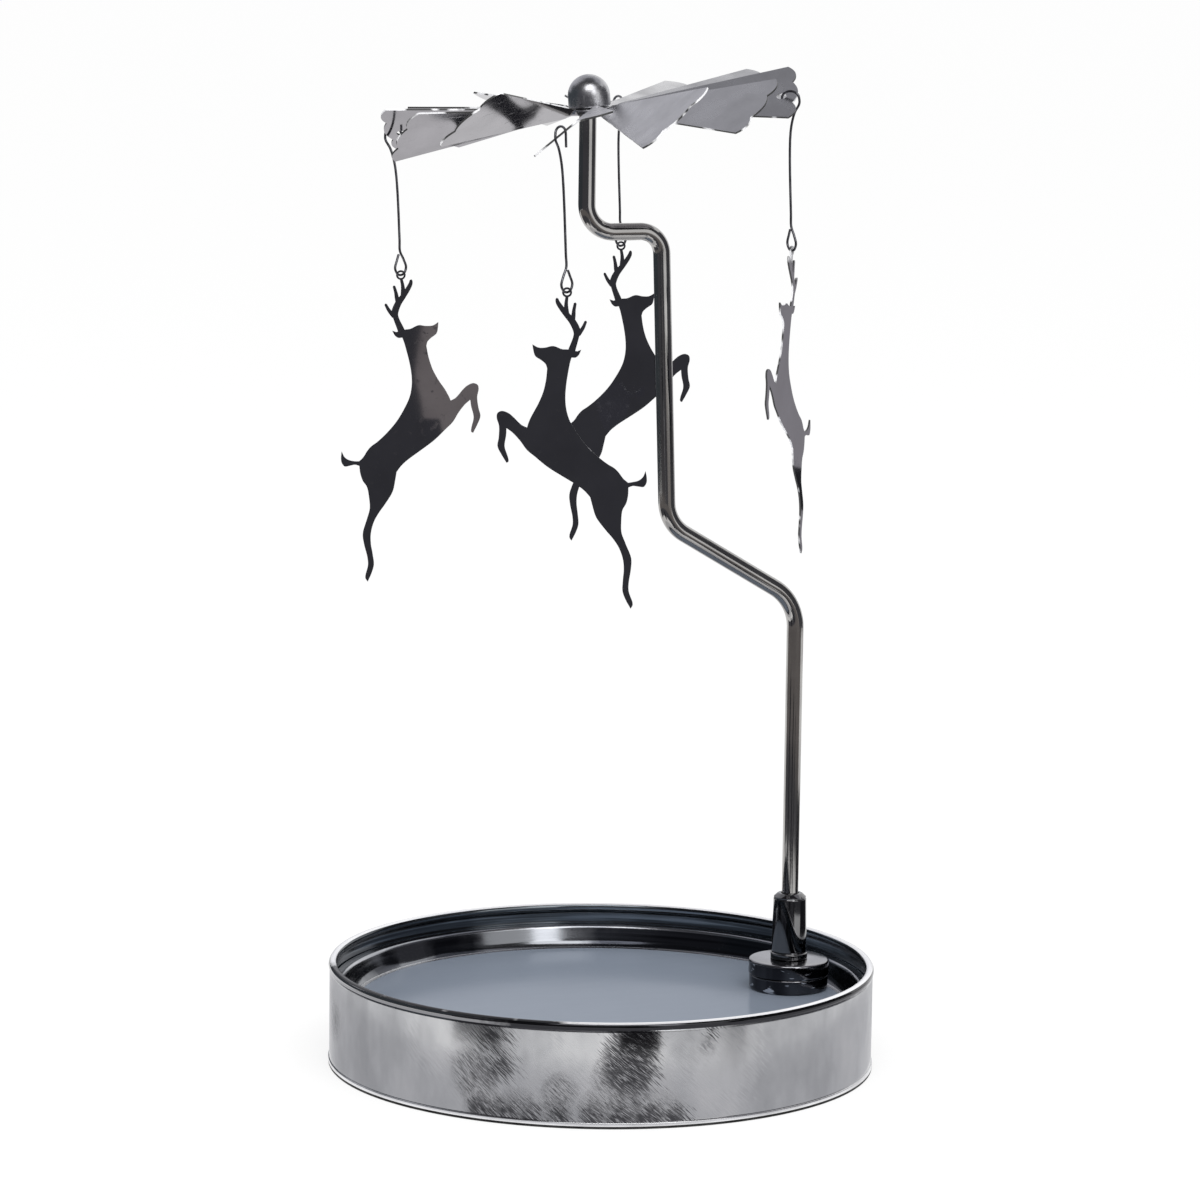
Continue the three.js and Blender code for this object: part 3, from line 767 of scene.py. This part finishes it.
def foot(plate, side_finish, chrome):
    """Magnet, disc and tapered collar, each with its rounded edges."""
    magnet = [
        (0, 0, 0),
        (MAGNET_RADIUS - 0.15, 0, 0.3, 1),
        (MAGNET_RADIUS, 0.3, 0.3, 1),
        (MAGNET_RADIUS, MAGNET_HEIGHT, 0.22),
        (0, MAGNET_HEIGHT, 0),
    ]
    foot_piece("magnet", magnet, MAGNET_Z, [plate, side_finish], "foot_magnet")
    bore = ROD_RADIUS + 0.08
    disc = [
        (bore, 0, 0),
        (DISC_RADIUS, 0, 0.25, 1),
        (DISC_RADIUS, DISC_HEIGHT, 0.42),
        (bore, DISC_HEIGHT, 0),
    ]
    foot_piece("disc", disc, DISC_Z, [plate, side_finish], "foot_disc")
    wide = COLLAR_BASE_RADIUS
    neck = COLLAR_TOP_RADIUS
    top = COLLAR_HEIGHT
    collar = [
        (bore, 0, 0),
        (wide, 0, 0.1),
        (wide, 0.9, 0.35),
        (wide - 0.22, 1, 0.1),
        (wide - 0.16, 1.25, 0.1),
        (neck, top - 0.95, 0.12),
        (neck - 0.1, top - 0.8, 0.06),
        (neck - 0.02, top - 0.66, 0.08),
        (neck - 0.75, top, 0.35),
        (bore + 0.05, top, 0.05),
        (bore, top - 0.2, 0),
    ]
    foot_piece("collar", collar, COLLAR_Z, [chrome], "rod_collar")


def straight(start, end):
    """Points about 2 mm apart on the way from start to end."""
    count = int((end - start).length / 2)
    return [start + (end - start) * (k / count) for k in range(1, count + 1)]


def rod_path():
    """The rod's centre line: straight stretches joined by round bends."""
    corners = [Vector((x, z)) for x, z in ROD_CORNERS]
    path = [corners[0]]
    for i, radius in enumerate(ROD_BENDS, start=1):
        before = (corners[i] - corners[i - 1]).normalized()
        after = (corners[i + 1] - corners[i]).normalized()
        turn = math.atan2(before.x * after.y - before.y * after.x, before.dot(after))
        start = corners[i] - before * radius * math.tan(abs(turn) / 2)
        side = Vector((-before.y, before.x)) * math.copysign(1, turn)
        centre = start + side * radius
        steps = max(8, int(abs(turn) * radius / 0.35))
        path += straight(path[-1], start)[:-1]
        for k in range(steps + 1):
            path.append(centre + Matrix.Rotation(turn * k / steps, 2) @ (start - centre))
    path += straight(path[-1], corners[-1])
    return [Vector((p.x, 0, p.y)) for p in path]


def rod(material):
    points, faces = tube(rod_path(), ROD_RADIUS, 48)
    points = [Vector((p.x, p.y, max(p.z, ROD_FOOT_Z))) for p in points]
    new_piece("bent_rod", points, faces, [material], "stand", ["rod"], ROUND_SMOOTH_ANGLE)


def needle(material):
    corners = [
        (0, -NEEDLE_LENGTH, 0),
        (NEEDLE_RADIUS, -NEEDLE_LENGTH, 0),
        (NEEDLE_RADIUS, -NEEDLE_POINT, 0.2),
        (0.02, 0, 0),
        (0, 0, 0),
    ]
    turned_piece("needle", corners, PIVOT, [material], "stand", ["pivot_needle"], segments=48)


def lean():
    """The rotor's lean on the needle's point."""
    low = math.radians(LEAN_AZIMUTH)
    axis = Vector((-math.sin(low), math.cos(low), 0))
    return Matrix.Rotation(math.radians(LEAN_ANGLE), 3, axis)


def hub(material):
    """Domed thimble cap over the needle, and the ring between it and the sheet."""
    dome = []
    for k in range(CAP_STEPS):
        out = polar(math.radians(90 * k / CAP_STEPS)) * CAP_RADIUS
        dome.append((out.x, CAP_TOP - CAP_RADIUS + out.y, 0))
    cap = [
        (CAP_BORE, -CAP_SKIRT, 0.1),
        (CAP_RADIUS, -CAP_SKIRT, 0.3),
        *dome,
        (0, CAP_TOP, 0),
        (0, 0.25, 0),
        (CAP_BORE, -1.1, 0.4),
    ]
    turned_piece("cap", cap, PIVOT, [material], "rotor", ["hub_cap"], segments=128, turn=lean())
    washer = [
        (CAP_BORE, WASHER_LOW, 0),
        (WASHER_RADIUS, WASHER_LOW, 0.1),
        (WASHER_RADIUS, -3.1, 0.2),
        (CAP_BORE, -3.0, 0),
    ]
    turned_piece("ring", washer, PIVOT, [material], "rotor", ["hub_washer"], segments=96, turn=lean())


def bend_share(x):
    """0 at the hub's edge, 1 past the bend, smooth between."""
    t = min(max((x - HUB_RADIUS) / BLADE_RAMP, 0), 1)
    return t * t * (3 - 2 * t)


def blade_point(i, x, y, z=0):
    """Where a point of blade i's flat blank lies in the rotor: curled, twisted, bent at the hub, turned."""
    if i == CURLED_BLADE and y > CURL_START:
        over = y - CURL_START
        angle = math.radians(CURL_ANGLE) * min(1, over / 0.6)
        y = CURL_START + over * math.cos(angle)
        z -= over * math.sin(angle)
    share = bend_share(x)
    pitch = Matrix.Rotation(math.radians(BLADE_PITCH[i]) * share, 3, "X")
    bend = Matrix.Rotation(-math.radians(BLADE_LIFT[i]) * share, 3, "Y")
    turn = Matrix.Rotation(2 * math.pi * i / len(BLADE_PITCH), 3, "Z")
    root = Vector((HUB_RADIUS, 0, 0))
    return turn @ (root + bend @ (pitch @ Vector((x, y, z)) - root))


def in_rotor(point):
    return lean() @ (point + Vector((0, 0, ROTOR_Z))) + Vector(PIVOT)


def blade_tip(steps):
    """The lobed end of a blade, from its low corner to its raised one."""
    def on_tip(y):
        return Vector((math.sqrt(BLADE_REACH ** 2 - y ** 2), y))

    points = [on_tip(BLADE_LOW)]
    y = BLADE_LOW
    for width in LOBE_WIDTHS:
        start = on_tip(y)
        middle = math.atan2(y + width / 2, BLADE_REACH)
        y += width
        crown = polar(middle) * (BLADE_REACH + 2 * LOBE_BULGE)
        points += bow(start, crown, on_tip(y), steps)[1:]
    return points


def blade_root(share):
    """A point on the hub's edge between the blade's two sides, as an angle."""
    tip = blade_tip(1)
    angles = []
    for side, corner in ((BLADE_ROOT_LOW, tip[0]), (BLADE_ROOT_HIGH, tip[-1])):
        slope = (corner.y - side) / (corner.x - BLADE_ROOT_X)
        y = side + slope * (BLADE_ROOT_END - BLADE_ROOT_X)
        angles.append(math.asin(y / HUB_RADIUS))
    return angles[0] + (angles[1] - angles[0]) * share


def blade_blank(i, first):
    """Points and faces of blade i's middle surface, numbered on from the first point."""
    tip = blade_tip(LOBE_STEPS)
    across = len(tip) - 1
    points = []
    for share in BLADE_ROWS:
        for k in range(across + 1):
            root = polar(blade_root(k / across)) * HUB_RADIUS
            flat = root.lerp(tip[k], share)
            points.append(blade_point(i, flat.x, flat.y))
    return points, grid_faces(len(BLADE_ROWS), across + 1, first)


def hub_sector(i, first):
    """The hub's ring over blade i's root and the gap to the next blade."""
    across = len(blade_tip(LOBE_STEPS)) - 1
    spacing = 2 * math.pi / len(BLADE_PITCH)
    spokes = [blade_root(k / across) for k in range(across + 1)]
    gap = spacing - spokes[-1] + spokes[0]
    spokes += [spokes[-1] + gap * k / GAP_STEPS for k in range(1, GAP_STEPS + 1)]
    points = [polar(angle + spacing * i).to_3d() * radius for radius in HUB_RINGS for angle in spokes]
    faces = grid_faces(len(HUB_RINGS), len(spokes), first)
    return points, [face[::-1] for face in faces]


def rotor_sheet(top, under, edge):
    """One stamped star: a hub ring and twelve lobed blades, twisted and bent from flat."""
    points = []
    faces = []
    for i in range(len(BLADE_PITCH)):
        for part in (blade_blank, hub_sector):
            more_points, more_faces = part(i, len(points))
            points += more_points
            faces += more_faces
    placed = [in_rotor(p) for p in points]
    star = new_piece("star_sheet", placed, faces, [top, under, edge], "rotor", ["rotor_sheet"])
    weld(star.data)
    if star.data.polygons[0].normal.z < 0:
        star.data.flip_normals()
    thicken(star)
    for i, *_ in PENDANTS:
        punch_hole(star, i)
    shade(star.data, STAR_SMOOTH_ANGLE)


def punch_hole(star, i):
    """The hole near the tip of blade i that its hook hangs in."""
    sides = 32
    points = []
    for z in (-2 * SHEET, 2 * SHEET):
        for p in circle(EYELET_RADIUS, sides):
            points.append(in_rotor(blade_point(i, EYELET_X + p.x, EYELET_Y + p.y, z)))
    faces = [list(range(sides))[::-1], list(range(sides, 2 * sides))]
    faces += [[k, (k + 1) % sides, sides + (k + 1) % sides, sides + k] for k in range(sides)]
    punch = add_mesh("punch", points, faces, [star.data.materials[2]])
    cut = star.modifiers.new("hole", "BOOLEAN")
    cut.operation = "DIFFERENCE"
    cut.object = punch
    cut.solver = "EXACT"
    cut.material_mode = "TRANSFER"
    apply_modifiers(star)
    bpy.data.objects.remove(punch)


def hang_point(i):
    return in_rotor(blade_point(i, HANG_X, HANG_Y))


def plumb():
    """Turns a hook from the base's upright to the way it hangs."""
    side = math.radians(PLUMB_AZIMUTH)
    return Matrix.Rotation(math.radians(PLUMB_TILT), 3, Vector((math.sin(side), -math.cos(side), 0)))


def hook_path(eye_azimuth, length):
    """Through the blade's hole, over its edge and down to an eye, X away from the hub."""
    across = polar(math.radians(HOOK_TURN)).to_3d()
    eye_side = polar(eye_azimuth).to_3d()

    def at(side, reach, z):
        return side * reach + Vector((0, 0, z))

    middle = (HOOK_OUTER - HOOK_INNER) / 2
    reach = (HOOK_OUTER + HOOK_INNER) / 2
    points = [at(across, -HOOK_INNER, -HOOK_TAIL), at(across, -HOOK_INNER, -HOOK_TAIL / 2)]
    for i in range(7):
        angle = math.pi * (1 - i / 6)
        points.append(at(across, middle + reach * math.cos(angle), HOOK_ARCH * math.sin(angle)))
    for share, z in HOOK_SHANK:
        points.append(at(across, share * HOOK_OUTER, z))
    low = -length
    half = EYE_WIDTH / 2
    points.append(at(eye_side, 0, low + 1.5 * EYE_HEIGHT))
    for out, up in EYE_LOOP:
        points.append(at(eye_side, out * half, low + up * EYE_HEIGHT))
    return curve_through(points, 8)


def hook(number, blade, length, tail, material):
    outward = 2 * math.pi * blade / len(BLADE_PITCH)
    path = hook_path(math.radians(tail) - outward + math.radians(EYE_TURN), length)
    turn = plumb() @ Matrix.Rotation(outward, 3, "Z")
    placed = [turn @ p + hang_point(blade) for p in path]
    points, faces = tube(placed, WIRE_RADIUS, 14)
    body = "hook_" + "abcd"[number - 1]
    node = f"hook_{number}"
    new_piece(f"wire_{number}", points, faces, [material], body, [node], ROUND_SMOOTH_ANGLE)


# Reindeer outline, ring at the origin, snout towards -X, as smooth strokes that meet at corners
BODY_STROKES = [
    [(1, -9.3), (0.1, -9.15), (-0.8, -9.1), (-2.2, -8.6), (-3.5, -8.85), (-4.6, -8.85), (-5.55, -8.35)],
    [(-5.4, -9.3), (-5.1, -10.2), (-4.1, -10.9), (-3.45, -11.5), (-3.2, -12.2)],
    [(-3.4, -14.05), (-3.85, -16), (-4.65, -17.9), (-5.75, -19.9), (-6.2, -20.9), (-6.45, -21.7)],
    [(-7.3, -21.3), (-8.7, -19.95), (-9.5, -19.35), (-10.5, -19.05), (-11.2, -19.4), (-11.3, -20.15),
     (-10.95, -21.4), (-11, -23.3), (-11.2, -24.7), (-10.6, -26), (-9.75, -27.4)],
    [(-9.45, -27.2), (-9.5, -26.6), (-10, -25.1), (-10.05, -24.4), (-9.8, -22.9), (-9.75, -21.8)],
    [(-8.8, -22.5), (-7.6, -23.8), (-6.5, -25.3), (-5.2, -26.4), (-3.2, -28.05), (-0.6, -29.7),
     (1.45, -30.95), (2.7, -31.9), (3.65, -32.95)],
    [(4, -34.3), (4.6, -36.2), (6.05, -38.2), (7.35, -39.75), (8.25, -41.15), (8.9, -43), (9.05, -44.65),
     (8.9, -46.5), (8.85, -48.25), (9.35, -49.65), (10.15, -51.1)],
    [(10.5, -50.4), (9.85, -48.25), (9.85, -46.85), (10.2, -44.65), (10.25, -42.9), (9.3, -40.4),
     (8.7, -38.75), (8.65, -36.9), (8.85, -35.05), (9.45, -33.95), (9.75, -32.65), (9.8, -31.4)],
    [(10.5, -31.15), (11.4, -31.25), (12.25, -31.3), (12.7, -30.65), (12.75, -29.9), (12.55, -28.75)],
    [(12.15, -29.7), (11.5, -30.25), (10.5, -30.55), (9.75, -30.65)],
    [(9, -30), (8.25, -29), (7.6, -28.35), (6.4, -27.6), (4.75, -26.3), (2.9, -24.45), (1.45, -22.45),
     (0.35, -20.5), (-0.15, -18.75), (-0.3, -17), (-0.15, -14.8), (0.2, -12.6), (0.5, -11.1), (0.7, -10.45)],
    [(1.35, -10.45), (1.85, -10.05), (2.25, -9.2)],
    [(1.6, -9.45)],
]

# Antler branches as (x, z, width) down the middle of each, from its tip or ring
ANTLER_BRANCHES = [
    [(-1.62, -1.03, 0.46), (-1.5, -1.55, 0.66), (-0.95, -2.45, 0.78), (-0.05, -3.6, 0.9), (0.9, -4.75, 1.08),
     (1.55, -6.2, 1.14), (1.45, -7.1, 0.92), (0.7, -9.4, 1.15)],
    [(0, -0.6, 0.46), (-0.15, -1.9, 0.6), (-0.1, -3.5, 0.9)],
    [(1.3, -1.8, 0.46), (1.1, -2.8, 0.56), (1, -3.8, 0.7), (0.85, -4.7, 0.8)],
    [(2.98, -4.7, 0.42), (2.5, -5.75, 0.58), (1.75, -6.8, 0.76)],
]


def body_outline():
    """The body's outline: each stroke runs on from the end of the one before."""
    outline = []
    last = BODY_STROKES[0][0]
    for number, stroke in enumerate(BODY_STROKES):
        knots = list(stroke) if number == 0 else [last, *stroke]
        flat = [Vector((x, z, 0)) for x, z in knots]
        smooth = curve_through(flat, 5) if len(flat) > 2 else flat
        outline += [p.to_2d() for p in smooth[:-1]]
        last = knots[-1]
    return outline + [Vector(last)]


def branch_outline(branch):
    """A branch widened to both sides of its middle line, with a round tip."""
    middle = curve_through([Vector((x, z, width)) for x, z, width in branch], 5)
    left = []
    right = []
    for i, p in enumerate(middle):
        heading = (middle[min(i + 1, len(middle) - 1)] - middle[max(i - 1, 0)]).to_2d().normalized()
        side = Vector((-heading.y, heading.x)) * p.z / 2
        left.append(p.to_2d() + side)
        right.append(p.to_2d() - side)
    tip = middle[0]
    back = (tip - middle[1]).to_2d().normalized()
    return [tip.to_2d() + back * tip.z * 0.4, *left, *right[::-1]]


def reindeer_blank():
    """Points and faces of the flat figure: body, antlers and ring joined, with the ring's hole out."""
    shapes = [body_outline()] + [branch_outline(branch) for branch in ANTLER_BRANCHES]
    shapes = [[p * REINDEER_SCALE for p in shape] for shape in shapes]
    shapes += [circle(RING_RADIUS, 40), circle(RING_HOLE, 32)]
    points = []
    rings = []
    for shape in shapes:
        rings.append(list(range(len(points), len(points) + len(shape))))
        points += shape
    flat, _, faces, _, _, owners = delaunay_2d_cdt(points, [], rings, 1, 1e-5)
    hole = len(shapes) - 1
    kept = [face for face, owner in zip(faces, owners) if owner and hole not in owner]
    return flat, kept


def reindeer(number, blade, length, tail, tilt, face_material, edge_material):
    flat, faces = reindeer_blank()
    turn = Matrix.Rotation(math.radians(tail), 3, "Z") @ Matrix.Rotation(-math.radians(tilt), 3, "Y")
    place = hang_point(blade) + plumb() @ Vector((0, 0, -length))
    placed = [turn @ Vector((p.x, 0, p.y)) + place for p in flat]
    body = "deer_" + "abcd"[number - 1]
    materials = [face_material, face_material, edge_material]
    figure = new_piece(f"figure_{number}", placed, faces, materials, body, [f"reindeer_{number}"])
    weld(figure.data)
    thicken(figure)
    shade(figure.data, FIGURE_SMOOTH_ANGLE)


# Studio

def glow(name, color):
    """An even light-giving surface for a reflector card."""
    paint = Paint(name)
    paint.surface(paint.value("Emission", Color=(*color, 1)))
    return paint.material


def view_azimuth(a):
    """The frame's azimuth, in radians, of an angle counted to the image's right from the camera."""
    return math.radians(270 + CAMERA_AZIMUTH + a)


def card(name, points, faces, color):
    """A card that shows only in the object's reflections."""
    piece = add_mesh(name, points, faces, [glow(name, color)])
    for ray in ("camera", "diffuse", "shadow", "transmission", "volume_scatter"):
        setattr(piece, "visible_" + ray, False)


def swept_card(name, start, end, rows, color, step=5):
    """A card between two azimuths round the object, through rows given as (radius, height)."""
    steps = max(2, int((end - start) / step))
    points = []
    for radius, height in rows:
        for k in range(steps + 1):
            out = polar(view_azimuth(start + (end - start) * k / steps))
            points.append((*out * radius, height))
    card(name, points, [face[::-1] for face in grid_faces(len(rows), steps + 1, 0)], color)


def curtain(name, start, end, low, high, radius, color):
    """An upright card that curves round the object."""
    swept_card(name, start, end, [(radius, low), (radius, high)], color, 3)


def table_card(name, start, end, near, far, color, height=0.4):
    """A card that lies on the table between two distances."""
    swept_card(name, start, end, [(near, height), (far, height)], color)


def dome(name, start, end, low, high, color):
    """A patch of a large dome round the object, between two azimuths and two heights in degrees."""
    up = max(2, int((high - low) / 5))
    rises = [math.radians(low + (high - low) * j / up) for j in range(up + 1)]
    rows = [(DOME_RADIUS * math.cos(rise), AIM_Z + DOME_RADIUS * math.sin(rise)) for rise in rises]
    swept_card(name, start, end, rows, color)


def bar_card(name, a, distance, width, height, color):
    """A narrow card that stands on the table and faces the base."""
    out = polar(view_azimuth(a)).to_3d()
    side = Vector((-out.y, out.x, 0)) * width / 2
    top = Vector((0, 0, height))
    middle = out * distance
    points = [middle - side, middle + side, middle + side + top, middle - side + top]
    card(name, points, [[0, 1, 2, 3]], color)


def floor():
    """A wide pale floor that keeps the object's shadow. Part of it is white light, which only the camera
    sees, straight or by way of metal or glass."""
    paint = Paint("floor_white", 0.9)
    paint.set("Metallic", 0)
    paint.color((0.95, 0.95, 0.95, 1))
    paint.set("Specular IOR Level", 0)
    ray = paint.node("LightPath").outputs
    seen = paint.sum(ray["Is Camera Ray"], ray["Is Glossy Ray"], clamp=True)
    seen = paint.sum(seen, ray["Is Transmission Ray"], clamp=True)
    share = paint.product(seen, FLOOR_WHITE)
    matte = paint.shader.outputs["BSDF"]
    paint.surface(paint.value("MixShader", sockets={0: share, 1: matte, 2: paint.value("Emission")}))
    corners = [(x * FLOOR_REACH, y * FLOOR_REACH, 0) for x, y in ((-1, -1), (1, -1), (1, 1), (-1, 1))]
    add_mesh("floor", corners, [[0, 1, 2, 3]], [paint.material])


def world():
    """Plain white all round, which lights the object evenly and is its background."""
    sky = bpy.data.worlds.new("studio")
    bpy.context.scene.world = sky
    sky.use_nodes = True
    sky.node_tree.nodes["Background"].inputs["Color"].default_value = (1, 1, 1, 1)


def lamp(name, a, elevation, distance, size, power):
    """A soft square lamp aimed at the rotor."""
    light = bpy.data.lights.new(name, "AREA")
    light.size = size * MM
    light.energy = power
    piece = add_object(name, light)
    rise = math.radians(elevation)
    out = polar(view_azimuth(a)).to_3d() * math.cos(rise) + Vector((0, 0, math.sin(rise)))
    piece.location = (out * distance + Vector((0, 0, AIM_Z))) * MM
    piece.rotation_euler = out.to_track_quat("Z", "Y").to_euler()


def camera():
    data = bpy.data.cameras.new("camera")
    data.lens = CAMERA_LENS
    data.sensor_width = CAMERA_SENSOR
    piece = add_object("camera", data)
    azimuth = Matrix.Rotation(math.radians(CAMERA_AZIMUTH), 4, "Z")
    pitch = Matrix.Rotation(math.radians(90 - CAMERA_DOWN), 4, "X")
    roll = Matrix.Rotation(math.radians(CAMERA_ROLL), 4, "Z")
    piece.matrix_world = Matrix.Translation(Vector(CAMERA_PLACE) * MM) @ azimuth @ pitch @ roll
    bpy.context.scene.camera = piece


def studio():
    """Floor, light and reflector cards: dark in front but for a lit gap, dark overhead, paler behind."""
    floor()
    world()
    dark = (0.085, 0.085, 0.095)
    cool_dark = (0.06, 0.07, 0.08)
    black = (0.03, 0.03, 0.035)
    warm_grey = (0.38, 0.34, 0.33)
    pale_grey = (0.46, 0.44, 0.47)
    curtain("card_left", -160, -62, 0, 200, 520, cool_dark)
    curtain("card_left_high", -125, -62, 200, 450, 520, cool_dark)
    curtain("card_behind_low", 160, 200, 0, 100, 690, (0.29, 0.29, 0.32))
    curtain("card_front_left", -62, 21, 0, 450, 500, dark)
    curtain("card_front_right", 60, 124, 0, 450, 500, dark)
    curtain("card_behind", 164, 196, 0, 230, 700, (0.78, 0.79, 0.83))
    dome("dome_front", -105, 95, 30, 90, (0.06, 0.06, 0.065))
    dome("dome_top", 95, 255, 66, 90, (0.12, 0.12, 0.13))
    dome("dome_back", 95, 255, 44, 66, (0.5, 0.5, 0.53))
    dome("dome_back_left", -178, -105, 8, 44, (0.68, 0.68, 0.72))
    table_card("table_front", -110, 90, 255, 500, (0.2, 0.185, 0.18))
    table_card("table_front_near", -110, 90, 135, 255, dark)
    table_card("table_gap", 15, 66, 500, 1050, (0.3, 0.28, 0.27))
    curtain("tint_neck", -6.28, -5.38, 50, 80, 495, warm_grey)
    curtain("tint_leg", -5.38, -4.2, 38, 66, 495, warm_grey)
    table_card("table_right_far", 130, 150, 808, 1600, pale_grey)
    table_card("table_right_dark", 130, 150, 705, 808, black)
    table_card("table_right_near", 130, 150, 420, 705, pale_grey)
    table_card("table_wedge", 36, 82, 95, 172, (1, 1, 1), 0.6)
    table_card("table_wedge_dark", 82, 132, 128, 260, black, 0.6)
    for number, (a, width) in enumerate([(-42, 32), (13, 24), (46, 12)], start=1):
        bar_card(f"bar_{number}", a, 105, width, 40, black)
    table_card("table_near", 0, 360, 46, 92, (0.72, 0.72, 0.74))
    lamp("key", 9, 41, 900, 800, 5.5)


# The scene

bpy.context.scene.view_settings.view_transform = "Standard"
camera()
studio()

foot_chrome = dark_chrome("foot_chrome", (0.33, 0.33, 0.35), 0.12)
collar_chrome = dark_chrome("collar_chrome", (0.22, 0.22, 0.225), 0.05)
rod_chrome = dark_chrome("rod_chrome", (0.46, 0.45, 0.44), 0.09)
blade_top = mirror_sheet("blade_top", (0.52, 0.52, 0.54), 0.28, 0.2)
# The blades' underside is painted darker than their top, as painted shade.
blade_under_painted_shade = mirror_sheet("blade_under_painted_shade", (0.33, 0.32, 0.34), 0.06, 0.12)
blade_edge = cut_edge("blade_edge", (0.05, 0.05, 0.05))
figure_face = mirror_sheet("figure_face", (0.3, 0.3, 0.32), 0.03, 0.12)
figure_edge = cut_edge("figure_edge", (0.06, 0.06, 0.06))
wire = wire_steel()

# The hem is painted much lighter than the wall, as a painted highlight.
hem_painted_highlight = dark_chrome("hem_painted_highlight", (0.85, 0.85, 0.87), 0.2)
# Painted light on the rim: the crest is a painted highlight with stretches of painted dark reflection, the
# side a painted dark reflection with stretches of painted reflected light.
crest_painted_highlight = rim_plate("crest_painted_highlight", (0.82, 0.82, 0.84), (0.03, 0.03, 0.033), CREST_PAINTED_DARK, 0.45, 0.25)
rim_side_painted_dark = rim_plate("rim_side_painted_dark", (0.05, 0.05, 0.055), (0.36, 0.36, 0.37), RIM_SIDE_PAINTED_LIGHT, 1, 0.12)
# A painted highlight along the crease round the tray's floor.
crease_painted_highlight = dark_chrome("crease_painted_highlight", (0.8, 0.81, 0.84), 0.25)

base_skirt(wall_plate(), inner_plate(), lip_painted_shadow(), crest_painted_highlight, rim_side_painted_dark, hem_painted_highlight)
base_tray(floor_plate(), side_plate(), ledge_plate(), crease_painted_highlight)
foot(foot_chrome, side_painted_shade(), collar_chrome)
rod(rod_chrome)
needle(ground_steel())
hub(satin_nickel())
rotor_sheet(blade_top, blade_under_painted_shade, blade_edge)
for number, (blade, length, tail, tilt) in enumerate(PENDANTS, start=1):
    hook(number, blade, length, tail, wire)
    reindeer(number, blade, length, tail, tilt, figure_face, figure_edge)
